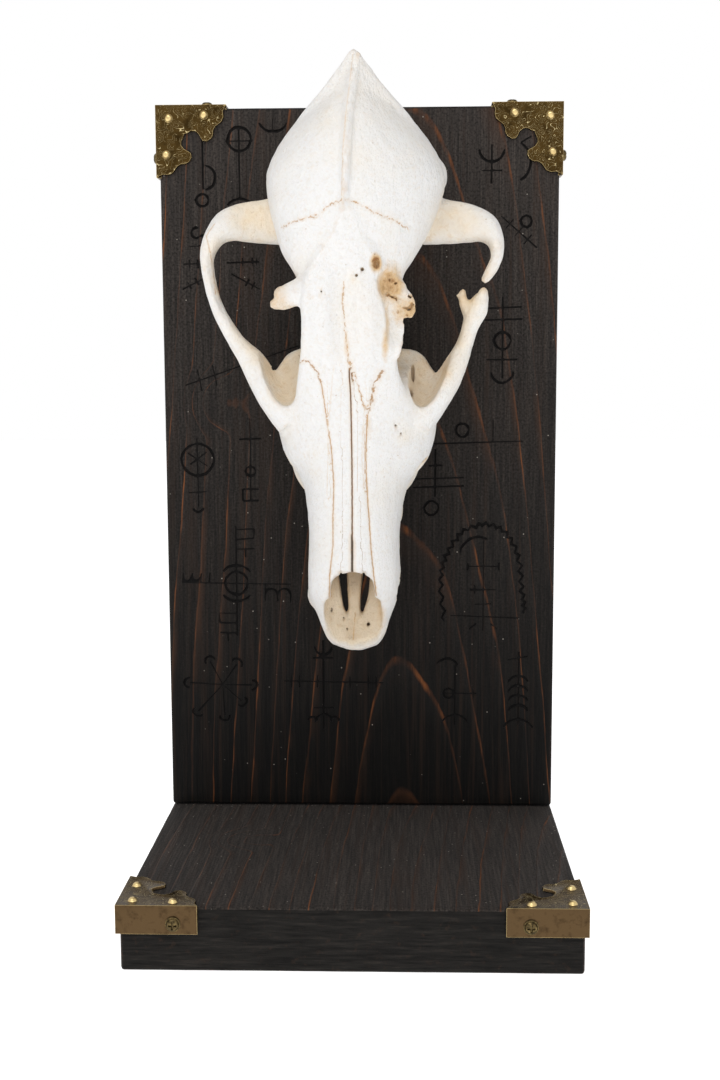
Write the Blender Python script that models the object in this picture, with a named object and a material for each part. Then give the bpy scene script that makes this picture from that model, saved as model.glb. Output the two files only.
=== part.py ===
"""Coyote skull hung nose down on a black stained board stand with brass corners, life size.

Metres, +Z up, the viewer stands at -Y. The origin is the middle of the base board's underside.
The skull is described in millimetres by three measures of its own:
  along   from the front edge of the snout (0) to the back of the crest,
  across  from its middle line, positive to the viewer's right,
  up      from the roots of the cheek teeth towards the brow.
"""

import math

import bmesh
import bpy
import numpy as np
from mathutils import Matrix, Vector

MM = 0.001

# Board stand
BOARD_WIDTH = 140 * MM
BOARD_THICKNESS = 20 * MM
BASE_DEPTH = 120 * MM
UPRIGHT_HEIGHT = 251 * MM
BOARD_BEVEL = 0.8 * MM
FIT_GAP = 0.3 * MM

# Brass corners
CORNER_FLANGE_REACH = 24.2 * MM
CORNER_SHEET = 0.8 * MM
CORNER_FLANGE = 9 * MM
NAIL_RADIUS = 1.9 * MM
NAIL_RISE = 1.0 * MM
NAIL_PLACES = ((4.6, 4.6), (17.0, 3.6), (3.6, 17.0))
SCREW_HEAD_RADIUS = 2.1 * MM
SCREW_HEAD_RISE = 1.3 * MM
SCREW_SHANK_RADIUS = 1.0 * MM
SCREW_SHANK_LENGTH = 8 * MM
SCREW_INSET = 17.5 * MM

# Pegs that hold the skull off the board
PEG_RADIUS = 3 * MM
PEG_DEPTH_IN_BOARD = 8 * MM
PEG_DEPTH_IN_BONE = 6 * MM

# Skull: where the front of the snout lies, and how far the skull tips off the board
SNOUT_FRONT = Vector((-1.4, 12.9, 84.9)) * MM
SKULL_TILT = math.radians(10)
SKULL_LEAN = math.radians(0.43)
SKULL_VOXEL = 0.8 * MM
SKULL_TRIANGLES = 9500
MELT_ROUNDS = 14

UPRIGHT_FRONT = BASE_DEPTH / 2 - BOARD_THICKNESS


def clear_scene():
    for old in list(bpy.data.objects):
        bpy.data.objects.remove(old, do_unlink=True)


def finish_material(name, colour, roughness, metallic=0.0):
    material = bpy.data.materials.new(name)
    material.use_nodes = True
    shader = material.node_tree.nodes["Principled BSDF"]
    shader.inputs["Base Color"].default_value = (*colour, 1)
    shader.inputs["Roughness"].default_value = roughness
    shader.inputs["Metallic"].default_value = metallic
    return material


def new_object(name, bm):
    """An object in the scene from a bmesh, with its faces pointing out."""
    bmesh.ops.recalc_face_normals(bm, faces=bm.faces)
    mesh = bpy.data.meshes.new(name)
    bm.to_mesh(mesh)
    bm.free()
    made = bpy.data.objects.new(name, mesh)
    bpy.context.scene.collection.objects.link(made)
    return made


def apply_modifiers(made):
    """Puts what the modifiers make into the object's own mesh."""
    bpy.context.view_layer.update()
    graph = bpy.context.evaluated_depsgraph_get()
    shaped = bpy.data.meshes.new_from_object(made.evaluated_get(graph))
    made.modifiers.clear()
    made.data = shaped


def smooth_between(keys, places):
    """Each column of keys read at the places, on a smooth curve. The first column is the place."""
    keys = np.array(keys, float)
    at, values = keys[:, 0], keys[:, 1:]
    slope = np.gradient(values, at, axis=0)
    cell = np.clip(np.searchsorted(at, places, "right") - 1, 0, len(at) - 2)
    width = at[cell + 1] - at[cell]
    t = (places - at[cell]) / width
    t = t[:, None]
    width = width[:, None]
    start, end = values[cell], values[cell + 1]
    return (
        (2 * t**3 - 3 * t**2 + 1) * start
        + (t**3 - 2 * t**2 + t) * width * slope[cell]
        + (3 * t**2 - 2 * t**3) * end
        + (t**3 - t**2) * width * slope[cell + 1]
    )


def skull_point(along, across, up):
    """The skull's own frame: along is +Z, across is +X and up is -Y, in metres."""
    return Vector((across, -up, along)) * MM


def loft(rings):
    """A closed bmesh through rings of the same number of points."""
    bm = bmesh.new()
    loops = [[bm.verts.new(point) for point in ring] for ring in rings]
    count = len(loops[0])
    for near, far in zip(loops, loops[1:]):
        for i in range(count):
            j = (i + 1) % count
            bm.faces.new((near[i], near[j], far[j], far[i]))
    bm.faces.new(loops[0])
    bm.faces.new(loops[-1])
    return bm


def round_power(value, roundness):
    """A sine or cosine bent towards a box (roundness over 2) or a ridge (under 2)."""
    return math.copysign(abs(value) ** (2 / roundness), value)


def section(along, left, right, ridge, top, widest, bottom, round_top, round_bottom, count):
    """One slice of a bone: a closed ring with its own width each side of the ridge."""
    ring = []
    for i in range(count):
        angle = 2 * math.pi * i / count
        roundness = round_top if math.cos(angle) > 0 else round_bottom
        side = round_power(math.sin(angle), roundness)
        lift = round_power(math.cos(angle), roundness)
        across = ridge + side * ((right - ridge) if side > 0 else (ridge + left))
        up = widest + lift * ((top - widest) if lift > 0 else (widest - bottom))
        ring.append(skull_point(along, across, up))
    return ring


def sliced_bone(name, keys, step, count=32):
    """A bone lofted through slices: along, left, right, ridge, top, widest, bottom and two roundnesses."""
    first, last = keys[0][0], keys[-1][0]
    places = np.linspace(first, last, max(3, round((last - first) / step)))
    values = smooth_between(keys, places)
    return new_object(name, loft([section(s, *row, count) for s, row in zip(places, values)]))


def bar(name, keys, per_span=4, count=14):
    """A bar swept through points: along, across, up, thickness and height of each. It stands on edge."""
    keys = np.array(keys, float)
    steps = np.linspace(0, len(keys) - 1, (len(keys) - 1) * per_span + 1)
    rows = smooth_between(np.column_stack([np.arange(len(keys)), keys]), steps)
    centres = [skull_point(*row[:3]) for row in rows]
    rings = []
    for i, row in enumerate(rows):
        way = centres[min(i + 1, len(rows) - 1)] - centres[max(i - 1, 0)]
        side = way.cross(Vector((0, -1, 0))).normalized()
        rise = side.cross(way).normalized()
        half_thick, half_high = row[3] * MM / 2, row[4] * MM / 2
        ring = []
        for j in range(count):
            angle = 2 * math.pi * j / count
            ring.append(
                centres[i]
                + side * round_power(math.cos(angle), 2.4) * half_thick
                + rise * round_power(math.sin(angle), 2.4) * half_high
            )
        rings.append(ring)
    return new_object(name, loft(rings))


def egg(name, along, across, up, long, wide, high, turn=0.0):
    """An ellipsoid given by its centre and its three half sizes, turned in the plane of the brow."""
    bm = bmesh.new()
    bmesh.ops.create_uvsphere(bm, u_segments=20, v_segments=12, radius=1)
    shape = Matrix.Diagonal((wide * MM, high * MM, long * MM, 1))
    spin = Matrix.Rotation(math.radians(turn), 4, "Y")
    place = Matrix.Translation(skull_point(along, across, up))
    bmesh.ops.transform(bm, matrix=place @ spin @ shape, verts=bm.verts)
    return new_object(name, bm)


def joined(name, pieces):
    """One object that holds the faces of all the pieces, which are removed."""
    bm = bmesh.new()
    for piece in pieces:
        bm.from_mesh(piece.data)
        bpy.data.objects.remove(piece, do_unlink=True)
    mesh = bpy.data.meshes.new(name)
    bm.to_mesh(mesh)
    bm.free()
    made = bpy.data.objects.new(name, mesh)
    bpy.context.scene.collection.objects.link(made)
    return made


def fuse(made, voxel, smoothing):
    """Makes one skin round overlapping pieces and softens where they meet."""
    remesh = made.modifiers.new("one skin", "REMESH")
    remesh.mode = "VOXEL"
    remesh.voxel_size = voxel
    if smoothing:
        smooth = made.modifiers.new("soft joins", "SMOOTH")
        smooth.iterations = smoothing
        smooth.factor = 0.5
    apply_modifiers(made)


def cut(made, cutter, solver="EXACT"):
    boolean = made.modifiers.new("cut", "BOOLEAN")
    boolean.operation = "DIFFERENCE"
    boolean.object = cutter
    boolean.solver = solver
    apply_modifiers(made)
    bpy.data.objects.remove(cutter, do_unlink=True)


def keep_largest_shell(made):
    """Drops every loose scrap and sealed hollow, and keeps the shell with the most faces."""
    bm = bmesh.new()
    bm.from_mesh(made.data)
    unseen = set(bm.verts)
    largest = set()
    while unseen:
        edge_of_search = [unseen.pop()]
        shell = set(edge_of_search)
        while edge_of_search:
            vert = edge_of_search.pop()
            for edge in vert.link_edges:
                other = edge.other_vert(vert)
                if other in unseen:
                    unseen.discard(other)
                    shell.add(other)
                    edge_of_search.append(other)
        if len(shell) > len(largest):
            largest = shell
    bmesh.ops.delete(bm, geom=[v for v in bm.verts if v not in largest], context="VERTS")
    bm.to_mesh(made.data)
    bm.free()


# The middle line of the brow bends a little to the viewer's left: along, across
MIDDLE_LINE = (
    (0, 0), (24, 0), (60, -0.6), (81, -1.1), (97, -1.9), (108, -3.0),
    (124, -3.0), (139, -2.9), (154, -2.5), (167, -1.9), (176, -0.9), (190, 0),
)

# Snout and cheeks: along, left, right, ridge, top, widest, bottom, round_top, round_bottom
SNOUT = (
    (-0.8, 2.5, 3.0, 0.2, 3.2, 2.2, 1.0, 2.0, 2.0),
    (0.6, 6.6, 7.2, 0.2, 4.8, 2.6, 0.2, 2.2, 2.4),
    (4.5, 9.6, 10.6, 0.1, 8.0, 3.2, -0.6, 2.3, 2.8),
    (10, 12.0, 12.2, 0.0, 12.6, 4.0, -0.8, 2.3, 3.2),
    (17, 15.2, 14.8, 0.0, 18.5, 5.0, -1.0, 2.3, 3.4),
    (24, 15.8, 15.8, 0.0, 23.2, 5.5, -1.0, 2.2, 3.6),
    (35, 15.6, 15.4, -0.2, 25.5, 6.0, -0.8, 2.1, 3.6),
    (48, 16.4, 16.4, -0.4, 28.5, 6.0, -0.6, 2.0, 3.6),
    (57, 18.4, 18.8, -0.6, 30.6, 6.5, -0.4, 1.9, 3.6),
    (65, 23.8, 25.0, -0.7, 32.4, 8.0, -0.2, 1.8, 3.4),
    (74, 26.2, 27.6, -0.9, 34.4, 10.0, 0.0, 1.75, 3.0),
    (81, 27.4, 27.8, -1.1, 36.0, 12.0, 0.6, 1.8, 2.8),
    (88, 29.2, 29.0, -1.4, 32.0, 12.5, 1.6, 1.9, 2.6),
    (93, 28.4, 28.0, -1.6, 24.0, 12.0, 2.8, 2.0, 2.4),
    (97, 25.6, 25.0, -1.8, 17.0, 11.4, 4.8, 2.2, 2.2),
    (100, 24.0, 23.4, -2.0, 14.8, 11.2, 7.0, 2.4, 2.0),
    (102.2, 20.0, 19.6, -2.0, 13.0, 11.0, 8.6, 2.2, 2.0),
)

# Brow and braincase, in the same measures
BRAINCASE = (
    (66, 12.0, 12.0, -0.7, 29.5, 20.0, 8.0, 2.0, 2.0),
    (74, 16.6, 16.6, -0.9, 33.8, 23.5, 8.0, 2.0, 2.0),
    (82, 19.2, 18.4, -1.1, 37.0, 26.5, 9.0, 2.0, 1.8),
    (90, 18.0, 15.0, -1.5, 40.4, 34.0, 8.0, 2.4, 1.5),
    (98, 17.0, 14.2, -2.0, 43.6, 39.0, 7.0, 2.6, 1.3),
    (106, 16.3, 14.6, -3.0, 46.4, 41.5, 7.0, 2.6, 1.2),
    (113, 16.2, 16.4, -3.0, 48.4, 41.5, 8.0, 2.4, 1.3),
    (119, 18.0, 15.6, -3.0, 50.6, 40.0, 9.0, 2.2, 1.5),
    (127, 22.8, 19.8, -3.0, 53.2, 37.0, 11.0, 2.1, 1.8),
    (136, 25.8, 24.2, -2.9, 55.6, 34.0, 12.0, 2.1, 2.0),
    (145, 28.2, 27.8, -2.7, 57.0, 32.0, 12.0, 2.05, 2.2),
    (154, 29.2, 29.6, -2.5, 57.6, 31.0, 12.0, 1.95, 2.2),
    (163, 26.6, 26.8, -2.0, 57.6, 30.0, 12.0, 1.75, 2.2),
    (171, 21.2, 21.4, -1.2, 57.0, 30.0, 13.0, 1.5, 2.2),
    (177, 15.5, 15.5, -0.8, 56.0, 32.0, 16.0, 1.35, 2.2),
    (183, 9.0, 9.0, -0.4, 54.6, 38.0, 30.0, 1.3, 2.0),
    (186.5, 4.0, 4.0, -0.2, 54.0, 44.0, 38.0, 1.2, 2.0),
)

# Flat plate of the brow, whose edges draw together behind the orbits, in the same measures
BROW_PLATE = (
    (97, 16.2, 12.8, -1.9, 43.9, 40.6, 34.0, 2.8, 1.8),
    (105, 16.4, 13.4, -2.8, 46.8, 43.6, 36.0, 2.8, 1.8),
    (112, 16.2, 13.6, -3.0, 49.4, 45.8, 38.0, 2.7, 1.8),
    (118, 14.6, 11.6, -3.0, 51.4, 47.8, 40.0, 2.5, 1.8),
    (125, 11.4, 7.6, -3.0, 53.4, 50.4, 44.0, 2.4, 1.8),
    (132, 7.6, 3.0, -3.0, 55.2, 52.8, 48.0, 2.2, 1.8),
    (140, 4.6, -1.4, -2.9, 56.8, 54.8, 50.0, 2.0, 1.8),
)

# Back of the skull, in slices one above the other: up, half width, side edge, back edge
OCCIPUT = (
    (13, 20.0, 160.0, 176.0),
    (19, 28.5, 161.0, 179.0),
    (25, 28.0, 162.5, 180.0),
    (31, 25.4, 164.2, 180.8),
    (37, 21.4, 168.4, 182.0),
    (43, 16.4, 172.6, 183.6),
    (48, 10.8, 177.0, 185.4),
    (52.5, 5.8, 182.4, 187.2),
    (56.5, 1.4, 187.0, 188.8),
)
OCCIPUT_FRONT = 150.0
OCCIPUT_EDGE = 1.35

# Crest along the top of the braincase: along, height of its edge, half width at its root
CREST = (
    (132, 55.6, 2.6), (140, 58.0, 2.6), (150, 59.6, 2.8), (160, 60.2, 2.8),
    (169, 59.8, 2.8), (177, 58.8, 2.6), (184, 57.2, 2.4), (188.6, 55.4, 1.4),
)
CREST_ROOT_DEPTH = 9.0

# Cheek arches: along, across, up, thickness, height
WHOLE_ARCH = (
    (76, -20.0, 17.0, 13.0, 17.0),
    (84, -26.3, 18.0, 12.0, 16.0),
    (90, -30.4, 18.2, 11.0, 13.4),
    (96, -34.5, 18.4, 8.8, 11.0),
    (101.5, -39.0, 19.2, 6.2, 9.6),
    (108, -43.2, 21.0, 4.9, 9.0),
    (115, -46.6, 23.4, 4.2, 9.0),
    (122, -48.4, 26.0, 4.0, 9.4),
    (129, -48.8, 28.4, 4.6, 9.6),
    (135.5, -46.4, 29.4, 7.0, 8.6),
    (139.5, -42.0, 28.6, 11.0, 7.4),
    (141.2, -37.0, 26.6, 13.6, 6.8),
    (142.0, -31.0, 24.6, 15.0, 7.4),
    (143.0, -23.0, 23.0, 17.0, 9.0),
)
BROKEN_ARCH_FRONT = (
    (76, 20.0, 17.0, 13.0, 17.0),
    (84, 26.0, 18.0, 11.6, 16.0),
    (90, 30.4, 18.2, 10.0, 13.4),
    (96, 34.0, 18.4, 7.6, 11.0),
    (102, 36.6, 19.2, 5.6, 9.6),
    (108, 38.6, 21.0, 5.8, 9.0),
    (113, 40.4, 23.0, 7.4, 8.6),
    (116.6, 41.8, 24.6, 4.8, 6.8),
    (119.6, 43.0, 25.6, 1.8, 3.4),
)
BROKEN_ARCH_SPUR = (
    (110.5, 38.6, 22.4, 4.6, 6.0),
    (114.2, 36.4, 23.4, 3.4, 4.4),
    (117.2, 35.4, 24.0, 2.6, 3.2),
    (119.4, 35.8, 24.4, 1.2, 1.8),
)
BROKEN_ARCH_BACK = (
    (121.2, 42.2, 26.8, 1.8, 4.6),
    (124.2, 44.4, 27.6, 3.6, 7.6),
    (129, 46.6, 28.6, 3.8, 9.2),
    (134.4, 46.2, 29.2, 5.8, 8.6),
    (138.8, 42.6, 28.6, 10.4, 7.4),
    (140.8, 37.4, 26.8, 13.2, 6.8),
    (142.0, 31.4, 24.8, 15.0, 7.4),
    (143.0, 23.0, 23.0, 17.0, 9.0),
)

# Brow spur behind the whole orbit, and what is left of the broken one
WHOLE_BROW_SPUR = (
    (114.2, -12.0, 42.0, 12.0, 9.0),
    (114.2, -17.0, 42.4, 9.4, 7.4),
    (113.6, -21.2, 41.4, 7.0, 5.8),
    (113.0, -24.8, 40.2, 4.4, 4.2),
)
BROKEN_BROW_STUMP = (
    (115.0, 8.0, 43.0, 13.0, 9.0),
    (113.4, 13.0, 42.6, 10.0, 8.0),
    (111.0, 17.2, 41.4, 5.6, 6.0),
    (109.4, 20.0, 40.8, 2.2, 2.6),
)

# Cusps of a cheek tooth, as shares of its length, its width outwards and its height
BLADE = ((-0.06, 0.0, 1.0), (0.30, 0.0, 0.55))
SHEAR = ((-0.12, 0.10, 1.0), (0.27, 0.05, 0.72), (-0.42, -0.50, 0.50))
GRINDER = ((-0.22, 0.26, 0.90), (0.22, 0.24, 0.75), (0.02, -0.30, 0.55))

# Cheek teeth of one side: along, across, length, width, height, turn outwards in degrees, cusps
CHEEK_TEETH = (
    (26.5, 13.2, 5.2, 3.2, 3.4, 4, BLADE),
    (35.0, 13.8, 9.6, 3.8, 5.0, 4, BLADE),
    (46.5, 15.2, 11.0, 4.2, 5.8, 8, BLADE),
    (62.0, 18.2, 18.6, 6.8, 8.6, 20, SHEAR),
    (76.4, 19.8, 11.6, 12.4, 5.8, 6, GRINDER),
    (86.0, 18.4, 7.0, 9.4, 4.2, 0, GRINDER),
)

# The open front of the nose, the cavity behind it and the arch between its two side points
NOSE_BOWL = (
    (-1.6, 3.0, 3.4, 0.2, 9.0, 6.0, 4.4, 2.0, 2.0),
    (1, 5.8, 6.4, 0.2, 12.0, 6.5, 3.3, 2.0, 2.4),
    (4.5, 8.2, 9.0, 0.2, 16.0, 7.5, 2.9, 2.0, 2.6),
    (8, 9.4, 9.8, 0.1, 20.0, 9.0, 3.1, 2.0, 2.6),
    (12, 9.8, 9.8, 0.0, 24.0, 10.0, 3.5, 2.0, 2.6),
    (16.8, 9.6, 9.4, 0.0, 27.0, 11.0, 4.0, 2.0, 2.6),
)
NOSE_CAVITY = (
    (14, 9.4, 9.2, 0.0, 14.0, 9.5, 4.0, 2.0, 2.6),
    (19, 9.9, 9.7, 0.0, 18.2, 11.0, 4.3, 2.0, 2.6),
    (25, 10.0, 9.8, 0.0, 21.8, 12.5, 4.6, 2.0, 2.6),
    (31, 9.4, 9.2, 0.0, 22.4, 13.0, 5.2, 2.0, 2.4),
    (40, 8.0, 8.0, 0.0, 22.0, 13.0, 6.5, 2.0, 2.2),
    (50, 4.5, 4.5, 0.0, 19.0, 13.5, 9.0, 2.0, 2.0),
)
NOSE_ARCH = (
    (14, 8.4, 8.2, 0.0, 34.0, 24.0, 12.0, 3.0, 3.0),
    (18, 8.3, 8.1, 0.0, 34.0, 24.0, 12.0, 3.0, 3.0),
    (21, 7.7, 7.5, 0.0, 34.0, 24.0, 12.0, 3.0, 3.0),
    (23.4, 6.2, 6.0, 0.0, 34.0, 24.0, 12.0, 3.0, 3.0),
    (24.8, 3.8, 3.6, 0.0, 34.0, 24.0, 12.0, 3.0, 3.0),
    (25.4, 1.0, 1.0, 0.0, 34.0, 24.0, 12.0, 3.0, 3.0),
)

# The step where the edge of the brow is broken off beside the viewer's right orbit
BROW_STEP = (
    (93, -13.4, 22.0, 17.0, 62.0, 52.0, 44.5, 3.0, 4.0),
    (97, -10.8, 22.0, 17.0, 62.0, 50.0, 40.8, 3.0, 4.0),
    (103, -10.4, 22.0, 17.0, 62.0, 50.0, 40.2, 3.0, 4.0),
    (108, -10.0, 22.0, 17.0, 62.0, 50.0, 40.8, 3.0, 4.0),
    (112.5, -9.0, 22.0, 17.0, 62.0, 52.0, 43.5, 3.0, 4.0),
)


def occiput():
    """The back of the skull, lofted upwards, with a sharp edge each side for the nape's crest."""
    ups = np.linspace(OCCIPUT[0][0], OCCIPUT[-1][0], 18)
    rings = []
    for up, (half_width, side_edge, back_edge) in zip(ups, smooth_between(OCCIPUT, ups)):
        ring = []
        for i in range(36):
            angle = 2 * math.pi * i / 36
            behind = math.cos(angle) > 0
            across = half_width * round_power(math.sin(angle), OCCIPUT_EDGE)
            reach = (back_edge - side_edge) if behind else max(1.5, (side_edge - OCCIPUT_FRONT) / 2)
            along = side_edge + reach * round_power(math.cos(angle), OCCIPUT_EDGE)
            ring.append(skull_point(along, across, up))
        rings.append(ring)
    return new_object("occiput", loft(rings))


def crest():
    """The thin crest that rises along the middle of the braincase."""
    keys = []
    for along, edge, half_width in CREST:
        middle = float(smooth_between(MIDDLE_LINE, np.array([along]))[0, 0])
        root = edge - CREST_ROOT_DEPTH
        left, right = half_width - middle, half_width + middle
        keys.append((along, left, right, middle, edge, root + 4, root, 1.1, 2.0))
    return sliced_bone("crest", keys, step=2, count=20)


def tooth(side, along, across, length, width, height, turn, cusps):
    """A low crown on the gum line with its cusps below it, turned outwards at its back."""
    angle = math.radians(turn)
    pieces = [egg("crown", along, side * across, 1.2, length / 2, width / 2, height * 0.5, side * turn)]
    for share_along, share_out, share_high in cusps:
        back, out = share_along * length, share_out * width
        pieces.append(
            egg(
                "cusp",
                along + back * math.cos(angle) - out * math.sin(angle),
                side * (across + back * math.sin(angle) + out * math.cos(angle)),
                -height * share_high * 0.38,
                max(1.4, length * 0.22), max(1.3, width * 0.24), height * share_high * 0.62, side * turn,
            )
        )
    return pieces


def main_bones():
    """The large rounded masses, which melt into one another."""
    bones = [
        sliced_bone("snout", SNOUT, step=2),
        sliced_bone("braincase", BRAINCASE, step=2.5),
        sliced_bone("brow plate", BROW_PLATE, step=2),
        occiput(),
        bar("skull floor", ((88, 0, 19, 18, 24), (120, -1, 22, 14, 20), (150, -0.6, 17, 20, 12), (176, -0.4, 17, 17, 8))),
    ]
    for side in (-1, 1):
        bones.append(
            bar(
                "brow swell",
                (
                    (90, side * 4 - 1.5, 36.6, 9, 6), (99, side * 6.6 - 2.2, 38.9, 12, 13), (108, side * 7.4 - 3, 41.8, 13, 14.4),
                    (117, side * 6.6 - 3, 45.4, 12, 13), (126, side * 4 - 3, 49.4, 9, 7),
                ),
            )
        )
        bones.append(egg("ear drum", 153, side * 13.4, 12.6, 11.0, 7.6, 8.2, side * 18))
        bones.append(egg("mastoid", 158.5, side * 25.0, 20.0, 6.4, 5.6, 9.0))
        bones.append(egg("condyle", 176.4, side * 9.0, 19.5, 5.8, 5.6, 8.0, side * 22))
        bones.append(
            bar(
                "ear process",
                ((162, side * 21.5, 20, 9, 9), (166, side * 21.6, 13, 6.5, 7.5), (168.4, side * 21, 7.4, 3.4, 4.4)),
            )
        )
    return bones


def fine_bones():
    """The thin bones and the teeth, which keep their edges."""
    bones = [
        crest(),
        bar("whole arch", WHOLE_ARCH),
        bar("broken arch front", BROKEN_ARCH_FRONT),
        bar("broken arch spur", BROKEN_ARCH_SPUR),
        bar("broken arch back", BROKEN_ARCH_BACK),
        bar("whole brow spur", WHOLE_BROW_SPUR),
        bar("broken brow stump", BROKEN_BROW_STUMP),
        egg("rim of the canine socket", 18.6, -12.8, 3.0, 5.4, 3.3, 4.6),
    ]
    for side in (-1, 1):
        bones.append(
            bar(
                "wing of the palate",
                (
                    (86, side * 9.6, 10, 3.6, 17), (97, side * 9.4, 10.6, 2.8, 15), (107, side * 9.0, 11.2, 2.4, 13),
                    (116, side * 8.6, 11.2, 2.2, 10), (122, side * 8.4, 9.8, 2.0, 7), (125.5, side * 8.6, 7.8, 1.6, 3.6),
                ),
            )
        )
        for row in CHEEK_TEETH:
            bones += tooth(side, *row)
    return bones


def skull_cutters():
    """All the hollows: nose, palate, throat, spine hole, orbits, ear and cheek holes, sockets, damage."""
    cutters = [
        sliced_bone("nose bowl", NOSE_BOWL, step=2, count=28),
        sliced_bone("nose cavity", NOSE_CAVITY, step=2.5, count=28),
        sliced_bone("nose arch", NOSE_ARCH, step=0.8, count=24),
        sliced_bone("brow step", BROW_STEP, step=2, count=24),
        egg("palate vault", 55, -0.3, -6.5, 40, 12.0, 8.2),
        egg("throat", 112, -1.2, 0.0, 20, 5.6, 12.0),
        egg("spine hole", 184, -0.4, 22.0, 12, 8.4, 6.6),
        egg("brow break pit", 115.5, 11.8, 50.4, 5.4, 4.0, 6.6),
        egg("brow break hole", 121.5, 7.6, 53.6, 2.2, 1.4, 5.0),
        egg("socket break", 19.5, 16.4, 3.5, 3.4, 2.6, 7.0),
        egg("tear hole", 84.5, 18.0, 21.0, 3.0, 1.1, 5.0, 28),
    ]
    for side in (-1, 1):
        cutters.append(egg("orbit", 103, side * 25.6, 26.4, 23.4, 7.6, 14.0, side * 9))
        cutters.append(
            bar(
                "palate slit",
                (
                    (11.6, side * 2.5, 1.5, 0.8, 12), (17, side * 3.2, 1.5, 2.4, 12),
                    (26, side * 4.2, 1.5, 3.0, 12), (29, side * 4.4, 1.5, 1.0, 12),
                ),
            )
        )
        cutters.append(egg("gap behind the palate", 108.5, side * 15.2, 7, 7.5, 3.4, 10))
        cutters.append(egg("ear hole", 151.5, side * 24.5, 13.5, 3.2, 7.0, 3.0))
        cutters.append(egg("cheek hole", 62, side * 22.2, 9.0, 6.0, 1.7, 3.0, side * 14))
        cutters.append(egg("canine socket", 16.5, side * 11.6, -1.0, 4.4, 2.7, 8.0))
    return cutters


def soften(made, rounds):
    """Melts the joins of the snout, the cheeks and the brow, and spares the thin front edge and the nape."""
    weights = made.vertex_groups.new(name="soft")
    alongs = np.array([vert.co.z / MM for vert in made.data.vertices])
    amounts = np.interp(alongs, (30, 62, 128, 150), (0.0, 1.0, 1.0, 0.3))
    for index, amount in enumerate(amounts):
        weights.add([index], float(amount), "REPLACE")
    smooth = made.modifiers.new("melted joins", "SMOOTH")
    smooth.iterations = rounds
    smooth.factor = 0.5
    smooth.vertex_group = "soft"
    apply_modifiers(made)
    made.vertex_groups.clear()


def skull(material):
    made = joined("skull", main_bones())
    fuse(made, SKULL_VOXEL, smoothing=2)
    soften(made, MELT_ROUNDS)
    made = joined("skull", [made, *fine_bones()])
    fuse(made, SKULL_VOXEL, smoothing=2)
    hollows = joined("hollows", skull_cutters())
    fuse(hollows, SKULL_VOXEL, smoothing=1)
    cut(made, hollows, "MANIFOLD")
    fuse(made, SKULL_VOXEL, smoothing=2)
    keep_largest_shell(made)
    made.data.transform(skull_place())
    thin = made.modifiers.new("fewer faces", "DECIMATE")
    thin.ratio = SKULL_TRIANGLES / sum(len(face.vertices) - 2 for face in made.data.polygons)
    apply_modifiers(made)
    for peg in pegs():
        cut(made, peg_hole(peg), "MANIFOLD")
    made.data.shade_smooth()
    made.data.materials.append(material)
    return made


def skull_place():
    """From the skull's own frame to its place on the board."""
    return (
        Matrix.Translation(SNOUT_FRONT)
        @ Matrix.Rotation(-SKULL_TILT, 4, "X")
        @ Matrix.Rotation(SKULL_LEAN, 4, "Y")
    )


def rod(name, start, end, radius, count=16):
    """A straight round rod from start to end."""
    start, end = Vector(start), Vector(end)
    way = end - start
    bm = bmesh.new()
    bmesh.ops.create_cone(
        bm, cap_ends=True, segments=count, radius1=radius, radius2=radius, depth=way.length
    )
    turn = way.to_track_quat("Z", "Y").to_matrix().to_4x4()
    bmesh.ops.transform(bm, matrix=Matrix.Translation((start + end) / 2) @ turn, verts=bm.verts)
    return new_object(name, bm)


def pegs():
    """Name and two ends of each peg, from inside the board to inside the bone."""
    found = []
    for name, along, up in (("peg_upper", 136, 12.4), ("peg_lower", 60, 1.6)):
        bone = skull_place() @ skull_point(along, 0, up)
        start = Vector((bone.x, UPRIGHT_FRONT + PEG_DEPTH_IN_BOARD, bone.z))
        end = Vector((bone.x, bone.y - PEG_DEPTH_IN_BONE, bone.z))
        found.append((name, start, end))
    return found


def peg_hole(peg):
    """The cutter for the hole that a peg sits in, in the bone and in the board alike."""
    name, start, end = peg
    way = (end - start).normalized()
    return rod(name + " hole", start - way * FIT_GAP, end + way * FIT_GAP, PEG_RADIUS + FIT_GAP)


def board(name, low, high, material):
    """A sawn board with its edges just broken."""
    bm = bmesh.new()
    bmesh.ops.create_cube(bm, size=1)
    low, high = Vector(low), Vector(high)
    shape = Matrix.Diagonal((*(high - low), 1))
    bmesh.ops.transform(bm, matrix=Matrix.Translation((low + high) / 2) @ shape, verts=bm.verts)
    bmesh.ops.bevel(bm, geom=bm.edges[:], offset=BOARD_BEVEL, segments=1, affect="EDGES")
    made = new_object(name, bm)
    made.data.materials.append(material)
    return made


def corner_outline():
    """The scalloped face of a corner: out along one arm, back along the other, from its own corner."""
    half = (
        (24.8, 0.0), (23.6, 2.2), (23.7, 4.8), (22.0, 6.8), (20.2, 7.8), (19.9, 10.2),
        (18.4, 12.0), (16.1, 12.4), (15.4, 9.9), (13.6, 8.7), (11.4, 9.7),
    )
    other_half = [(q, p) for p, q in reversed(half)]
    return [Vector((p, q)) * MM for p, q in ((0.0, 0.0), *half, (9.9, 9.9), *other_half)]


def sheet_from(outline, to_world, thickness, out):
    """A flat sheet with this outline, standing out from its face by the thickness."""
    bm = bmesh.new()
    near = [bm.verts.new(to_world(point)) for point in outline]
    far = [bm.verts.new(to_world(point) + out * thickness) for point in outline]
    count = len(outline)
    bm.faces.new(near)
    bm.faces.new(far)
    for i in range(count):
        j = (i + 1) % count
        bm.faces.new((near[i], near[j], far[j], far[i]))
    bm.normal_update()
    bmesh.ops.triangulate(bm, faces=bm.faces)
    return bm


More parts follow.
